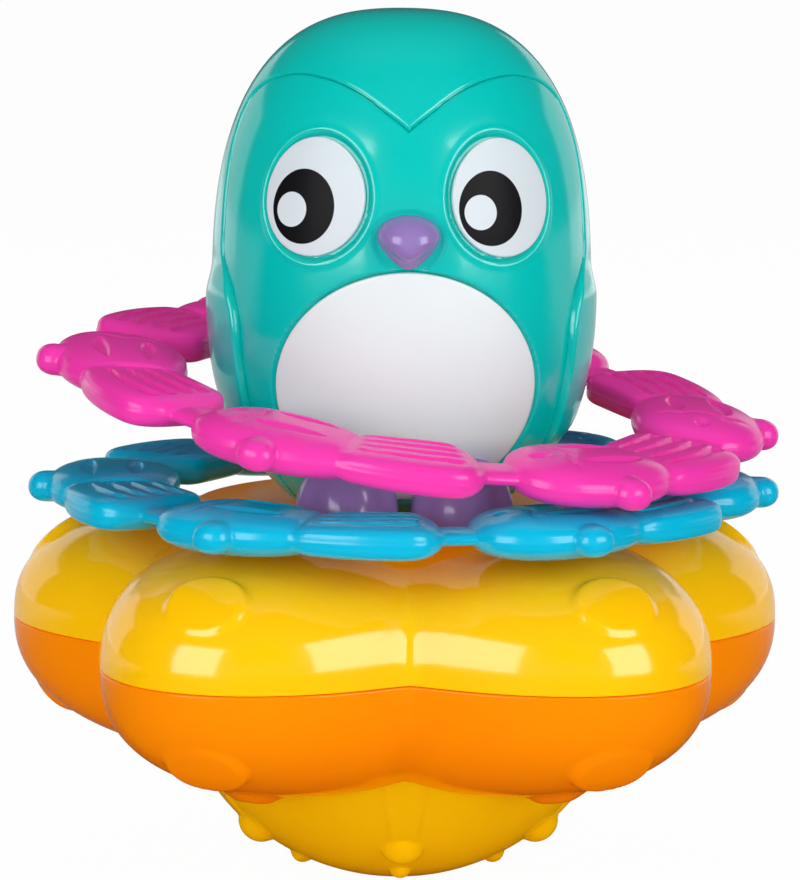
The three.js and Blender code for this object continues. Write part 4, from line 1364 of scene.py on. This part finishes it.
# Gill line: scallops to each side, their wave, its sweep and half width in degrees, and its reach across
GILL_SCALLOPS = 1.5
GILL_WAVE = 1.5
GILL_SWEEP = 4.0
GILL_HALF = 0.65
GILL_REACH = 0.8

# Marks across a fish, as shares of its half width
LEAF_MIDDLES = (-0.36, 0.36)
LEAF_HALF = 0.15
LEAF_POINT = 0.7
LEAF_TIP = 0.01
GROOVE_MIDDLES = (-0.54, -0.18, 0.18, 0.54)
GROOVE_HALF = 0.055
GROOVE_SPREAD = 0.07
EYE_STRETCH = 1.3

# Shares of its length over which a tail groove starts and ends, and of a fish's thickness where marks start
GROOVE_STARTS = (0.0, 0.12)
GROOVE_ENDS = (0.965, 1.0)
FLAT_LEVELS = (0.1, 0.6)

# Half width of the line left by the mould, on a fish and on a nub
MOULD_WIDTH = 0.28 * MM
NUB_LINE_WIDTH = 0.3 * MM
NUB_LINE = 0.03

# Nub: points along and round it, length and start of its rounded end, and fullness along it and in section
NUB_ROWS = 26
NUB_AROUND = 56
NUB_CAP = 4.0 * MM
NUB_STRAIGHT = 0.3
NUB_FULLNESS = 2.3
NUB_SECTION = 2.25

# Joints of the nubs: the part of the band that has them, the corners to round, and how far and how often
JOINT_SHARE = 0.6
JOINT_CORNER = math.radians(20)
JOINT_REACH = 1.0 * MM
JOINT_ROUNDS = 6
JOINT_MERGE = 0.02 * MM

# Band of radii, at the CAD ring's rim, that holds the tips of its nubs
TIP_BAND = 1.2 * MM


def fish_station(degrees, values, fullness):
    """Half of a measure along a fish: body, waist, tail and link."""
    body, waist, tail, link = values
    reach = np.where(degrees < SHOULDER, SHOULDER - NOSE, BODY_END - SHOULDER)
    share = np.clip(np.abs(degrees - SHOULDER) / reach, 0.0, 1.0)
    torso = body * (1 - share ** fullness) ** (1 / fullness)
    spread = np.clip((degrees - WAIST) / (FAN_FULL - WAIST), 0.0, 1.0)
    fan = waist + (tail - waist) * np.sin(spread * math.pi / 2) ** FAN_OPENING
    past = np.clip((degrees - FAN_END) / (TAIL_END - FAN_END), 0.0, 1.0)
    fan = fan * (1 - past ** FAN_CLOSING) ** (1 / FAN_CLOSING)
    return np.maximum(np.maximum(torso * (degrees < WAIST), fan * (degrees >= WAIST)), link)


def hollow(apart, soft):
    """1 well inside a distance of 1, and 0 outside it."""
    return 1 - smooth_step(1 - soft, 1.0, apart)


def fish_marks(s, degrees, share, half):
    """Relief on a fish's broad faces: eye, gill line, leaf-shaped hollows, and the grooves of the tail."""
    ride = np.radians(degrees - EYE_PLACE) * s.radius
    relief = -s.eye_sink * hollow(np.hypot(ride / EYE_STRETCH, share * half) / s.eye_radius, soft=0.6)
    gill = GILL_PLACE + GILL_WAVE * np.abs(np.cos(GILL_SCALLOPS * math.pi * share)) - GILL_SWEEP * share ** 2
    line = s.gill_sink * hollow(np.abs(degrees - gill) / GILL_HALF, soft=1.0)
    relief = relief - line * hollow(np.abs(share) / GILL_REACH, soft=0.3)
    along = np.clip((degrees - LEAF_START) / LEAF_SPAN, 0.0, 1.0)
    leaf = np.maximum(LEAF_HALF * np.sin(along * math.pi) ** LEAF_POINT, 1e-6)
    for middle in LEAF_MIDDLES:
        relief = relief - s.leaf_sink * hollow(np.abs(share - middle) / leaf, soft=0.6) * (leaf > LEAF_TIP)
    along = (degrees - GROOVE_START) / GROOVE_SPAN
    ends = smooth_step(*GROOVE_STARTS, along) * (1 - smooth_step(*GROOVE_ENDS, along))
    groove = GROOVE_HALF + GROOVE_SPREAD * np.clip(along, 0.0, 1.0)
    for middle in GROOVE_MIDDLES:
        relief = relief - s.tail_sink * hollow(np.abs(share - middle) / groove, soft=0.45) * ends
    return relief


def even_section(half, thick, fullness, count):
    """A squarish oval of points spaced evenly round it."""
    turns = np.linspace(0.0, TURN, SECTION_STEPS)
    across = half * signed_power(np.cos(turns), 2 / fullness)
    level = thick * signed_power(np.sin(turns), 2 / fullness)
    walked = np.concatenate([[0.0], np.cumsum(np.hypot(np.diff(across), np.diff(level)))])
    wanted = np.arange(count) * walked[-1] / count
    return np.interp(wanted, walked, across), np.interp(wanted, walked, level)


def fish_sector(s):
    """Closed sections along one fish, from its nose to the next one's."""
    degrees = np.linspace(0.0, FISH_SPAN, FISH_STATIONS)
    widths = (s.body_half, s.waist_half, s.tail_half, s.link_half)
    depths = (s.body_thick, s.waist_thick, s.tail_thick, s.link_thick)
    half = fish_station(degrees, widths, PLAN_FULLNESS)
    thick = fish_station(degrees, depths, SIDE_FULLNESS)
    boxy = smooth_step(*TAIL_OPENING, degrees) * (1 - smooth_step(*TAIL_CLOSING, degrees))
    fullness = SECTION_FULLNESS + TAIL_FULLNESS * boxy
    sections = [even_section(*station, FISH_AROUND) for station in zip(half, thick, fullness)]
    across = np.array([section[0] for section in sections])
    level = np.array([section[1] for section in sections])
    flatness = smooth_step(*FLAT_LEVELS, np.abs(level) / thick[:, None])
    marks = fish_marks(s, degrees[:, None], across / half[:, None], half[:, None])
    line = s.mould_line * np.exp(-(level / MOULD_WIDTH) ** 2) * np.sign(across)
    level = level + np.sign(level) * marks * flatness
    turn = np.radians(degrees * (360 / FISH_SPAN) / s.fish)[:, None]
    return cylinder_points(s.radius + across + line, turn, level)


def fin_mesh(s):
    """A rounded nub that stands out of a fish's side."""
    along = np.linspace(0.0, 1.0, NUB_ROWS)[:, None]
    bend = s.fin_tip - NUB_CAP
    straight = np.clip(along / NUB_STRAIGHT, 0.0, 1.0)
    sweep = np.clip((along - NUB_STRAIGHT) / (1 - NUB_STRAIGHT), 0.0, 1.0) * math.pi / 2 * ROUND_END
    cap = (s.fin_tip - bend) * np.sin(sweep) ** (2 / NUB_FULLNESS)
    reach = s.fin_root + (bend - s.fin_root) * straight + cap
    size = np.cos(sweep) ** (2 / NUB_FULLNESS)
    around = even_turns(NUB_AROUND)
    aside = s.fin_half * size * signed_power(np.cos(around), 2 / NUB_SECTION)
    level = s.fin_thick * size * signed_power(np.sin(around), 2 / NUB_SECTION)
    line = 1 + NUB_LINE * np.exp(-(level / NUB_LINE_WIDTH) ** 2)
    flat = points_of(reach, aside * line, level)
    turn = np.array(Matrix.Rotation(s.fin_at, 3, "Z"))
    return skin("fin_nub", flat @ turn.T, caps=True)


def soften_joints(mesh, inner_radius):
    """The inner corners where nubs meet their fish, rounded as the mould's are."""
    shape = bmesh.new()
    shape.from_mesh(mesh)
    bmesh.ops.remove_doubles(shape, verts=shape.verts, dist=JOINT_MERGE)
    corners = [
        point.co.copy()
        for edge in shape.edges
        if edge.is_manifold and not edge.is_convex and edge.calc_face_angle() > JOINT_CORNER
        for point in edge.verts
        if point.co.xy.length > inner_radius
    ]
    tree = search_tree(corners)
    near = [point for point in shape.verts if (tree.find(point.co)[2] or 0.0) < JOINT_REACH]
    axes = {"use_axis_x": True, "use_axis_y": True, "use_axis_z": True}
    for _ in range(JOINT_ROUNDS):
        bmesh.ops.smooth_vert(shape, verts=near, factor=0.5, **axes)
    shape.to_mesh(mesh)
    shape.free()


def ring_place(s, node):
    """The CAD ring's place: its middle, its lean and the turn of its fins."""
    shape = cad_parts[node].data
    points = np.empty(len(shape.vertices) * 3, dtype=np.float32)
    shape.vertices.foreach_get("co", points)
    points = points.reshape(-1, 3).astype(float)
    middle = (points.min(axis=0) + points.max(axis=0)) / 2
    apart = points - middle
    axis = np.linalg.svd(apart, full_matrices=False)[2][2]
    axis = axis * np.sign(axis[2])
    flat = apart - np.outer(apart @ axis, axis)
    reach = np.linalg.norm(flat, axis=1)
    upright = Vector((0, 0, 1)).rotation_difference(Vector(axis)).to_matrix()
    tips = flat[reach > reach.max() - TIP_BAND] @ np.array(upright)
    turns = np.arctan2(tips[:, 1], tips[:, 0])
    spin = np.angle(np.exp(1j * turns * s.fish).mean()) / s.fish
    return Matrix.Translation(middle) @ upright.to_4x4() @ Matrix.Rotation(spin - s.fin_at, 4, "Z")


class STACKER_OT_rings(bpy.types.Operator):
    """Make the two rings of linked fish"""
    bl_idname = "stacker.rings"
    bl_label = "Fish Rings"

    def execute(self, context):
        s = context.scene.stacker_ring
        colours = context.scene.stacker_colours
        blue = moulded_plastic("blue_moulding", colours, "blue")
        pink = moulded_plastic("pink_moulding", colours, "pink")
        band = repeated(skin("fish_sector", fish_sector(s)), s.fish, 0.0, blue)
        fins = repeated(fin_mesh(s), s.fish, 0.0, blue)
        for mesh in (band, fins):
            settle(mesh, CREASE)
        whole = joined_solids("fish_ring", band, fins)
        soften_joints(whole, s.radius + JOINT_SHARE * s.body_half)
        pieces = (
            ("fish_ring_blue", blue, "blue_ring", "blue_plastic", "ring_blue"),
            ("fish_ring_pink", pink, "pink_ring", "pink_plastic", "ring_pink"),
        )
        for name, material, body, slot, node in pieces:
            mesh = whole.copy()
            mesh.transform(ring_place(s, node))
            show(name, mesh, material, body, slot, node, crease=RING_CREASE)
        return {"FINISHED"}


class STACKER_OT_inner_metal(bpy.types.Operator):
    """Finish the ballast and the screws inside the toy"""
    bl_idname = "stacker.inner_metal"
    bl_label = "Ballast and Screws"

    def execute(self, context):
        steel = turned_steel("turned_steel", context.scene.stacker_colours.steel)
        names = [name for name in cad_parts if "screw" in name or "ballast" in name]
        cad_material(steel, *names)
        return {"FINISHED"}


# Stage

def sky_direction(azimuth, elevation):
    """Unit vector towards a place round the toy, with the same azimuth as the camera's."""
    flat = math.cos(elevation)
    return Vector((math.sin(azimuth) * flat, -math.cos(azimuth) * flat, math.sin(elevation)))


# Azimuth and elevation in degrees, distance, width and height in metres, and watts of each lamp:
# the mirrored ones are seen in the mouldings, and the fills light the toy evenly
MIRRORED_LAMPS = {
    "left_box": (-41, 17, 0.9, 0.58, 0.54, 4.5),
    "right_box": (47.5, 17, 0.9, 0.52, 0.54, 4.1),
    "left_rear_box": (-142, 10, 0.9, 0.7, 0.42, 0.75),
    "right_rear_box": (142, 10, 0.9, 0.7, 0.42, 0.75),
}
FILL_LAMPS = {
    "left_fill": (-40, 17, 0.9, 0.78, 0.54, 3.4),
    "right_fill": (45, 17, 0.9, 0.69, 0.54, 3.5),
    "low_fill": (0, 8, 1.2, 1.6, 0.3, 2.7),
    "front_fill": (0, 52, 1.4, 1.6, 1.0, 3.0),
    "top_fill": (180, 78, 1.3, 1.2, 1.0, 5.6),
    "rear_fill": (180, 30, 1.2, 1.6, 0.8, 2.4),
}

# White of the floor: its share, where it starts behind the toy in reflections, and its strength there
FLOOR_WHITE = 0.98
WHITE_BEHIND = (0.0, 0.3)
MIRRORED_WHITE = 0.6

SENSOR_WIDTH = 36.0
CLIP_START = 0.05
CLIP_END = 50.0


def softbox(name, azimuth, elevation, distance, width, height, watts, target, mirrored):
    """A rectangular lamp that faces the toy, and either is seen mirrored in it or lights it evenly."""
    lamp = bpy.data.lights.new(name, "AREA")
    lamp.shape = "RECTANGLE"
    lamp.size = width
    lamp.size_y = height
    lamp.energy = watts
    holder = placed(name, lamp)
    away = sky_direction(math.radians(azimuth), math.radians(elevation))
    holder.location = target + away * distance
    holder.rotation_euler = away.to_track_quat("Z", "Y").to_euler()
    holder.visible_glossy = mirrored
    holder.visible_diffuse = not mirrored


def bright_to_camera(paint, surface):
    """A surface that is plain white to the camera, and in reflections white far behind and dark in front."""
    path = paint.tree.nodes.new("ShaderNodeLightPath")
    seen = Value(paint, path.outputs["Is Camera Ray"])
    mirrored = Value(paint, path.outputs["Is Glossy Ray"])
    passed = Value(paint, path.outputs["Is Transmission Ray"])
    bounced = mirrored + passed
    far_side = paint.ramp(paint.axes(paint.place())[1], *WHITE_BEHIND, 0.0, 1.0)
    lit = seen.maths("MAXIMUM", seen, bounced * far_side * MIRRORED_WHITE)
    tint = paint.mix(lit, (0, 0, 0, 1), (1, 1, 1, 1))
    white = paint.node("ShaderNodeEmission", {}, {"Color": tint, "Strength": 1.0})
    factor = seen.maths("MAXIMUM", seen, bounced) * FLOOR_WHITE
    mixed = paint.node("ShaderNodeMixShader", {}, {0: factor, 1: surface, 2: white})
    paint.node("ShaderNodeOutputMaterial", {}, {"Surface": mixed})
    return paint.material


class STACKER_OT_stage(bpy.types.Operator):
    """Set up the floor, the lamps, the surroundings and the camera"""
    bl_idname = "stacker.stage"
    bl_label = "Studio Stage"

    def execute(self, context):
        s = context.scene.stacker_stage
        scene = context.scene
        scene.view_settings.view_transform = "Standard"
        target = Vector((0.0, 0.0, s.target_height))

        half = s.floor_size / 2
        corners = np.array([(-half, -half, 0.0), (half, -half, 0.0), (half, half, 0.0), (-half, half, 0.0)])
        ground = mesh_of("studio_floor", corners, [(0, 1, 2, 3)])
        paint = Paint("studio_floor")
        paper = paint.node("ShaderNodeBsdfDiffuse", {}, {"Color": opaque(scene.stacker_colours.floor)})
        ground.materials.append(bright_to_camera(paint, paper))
        floor = placed("studio_floor", ground)

        world = bpy.data.worlds.new("studio_white")
        world.use_nodes = True
        tree = world.node_tree
        tree.nodes.clear()
        glow = tree.nodes.new("ShaderNodeBackground")
        glow.inputs["Strength"].default_value = s.surroundings
        out = tree.nodes.new("ShaderNodeOutputWorld")
        tree.links.new(glow.outputs[0], out.inputs["Surface"])
        scene.world = world

        for lamps, mirrored in ((MIRRORED_LAMPS, True), (FILL_LAMPS, False)):
            for name, place in lamps.items():
                softbox(name, *place, target, mirrored)

        camera = bpy.data.cameras.new("photo_camera")
        camera.lens = s.lens
        camera.sensor_fit = "AUTO"
        camera.sensor_width = SENSOR_WIDTH
        camera.clip_start = CLIP_START
        camera.clip_end = CLIP_END
        holder = placed("photo_camera", camera)
        back = sky_direction(s.azimuth, s.elevation)
        holder.location = target + back * s.distance
        facing = back.to_track_quat("Z", "Y").to_matrix() @ Matrix.Rotation(s.roll, 3, "Z")
        holder.rotation_euler = facing.to_euler()
        scene.camera = holder
        return {"FINISHED"}


OPERATORS = (
    STACKER_OT_float,
    STACKER_OT_keel,
    STACKER_OT_bird,
    STACKER_OT_inlays,
    STACKER_OT_beak_and_feet,
    STACKER_OT_rings,
    STACKER_OT_inner_metal,
    STACKER_OT_stage,
)


class STACKER_PT_panel(bpy.types.Panel):
    """Buttons and sizes of the ring stacker"""
    bl_idname = "STACKER_PT_panel"
    bl_label = "Bath Ring Stacker"
    bl_space_type = "VIEW_3D"
    bl_region_type = "UI"
    bl_category = "Ring Stacker"

    def draw(self, context):
        for operator in OPERATORS:
            self.layout.operator(operator.bl_idname)
        for name, group in SETTINGS.items():
            box = self.layout.box()
            box.label(text=group.__doc__)
            for setting in group.__annotations__:
                box.prop(getattr(context.scene, name), setting)


CLASSES = (*SETTINGS.values(), *OPERATORS, STACKER_PT_panel)


def register():
    for entry in CLASSES:
        bpy.utils.register_class(entry)
    for name, group in SETTINGS.items():
        setattr(bpy.types.Scene, name, PointerProperty(type=group))


def unregister():
    for name in SETTINGS:
        delattr(bpy.types.Scene, name)
    for entry in reversed(CLASSES):
        bpy.utils.unregister_class(entry)


def main():
    register()
    for operator in OPERATORS:
        group, action = operator.bl_idname.split(".")
        getattr(getattr(bpy.ops, group), action)()
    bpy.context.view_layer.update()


if __name__ == "__main__":
    main()
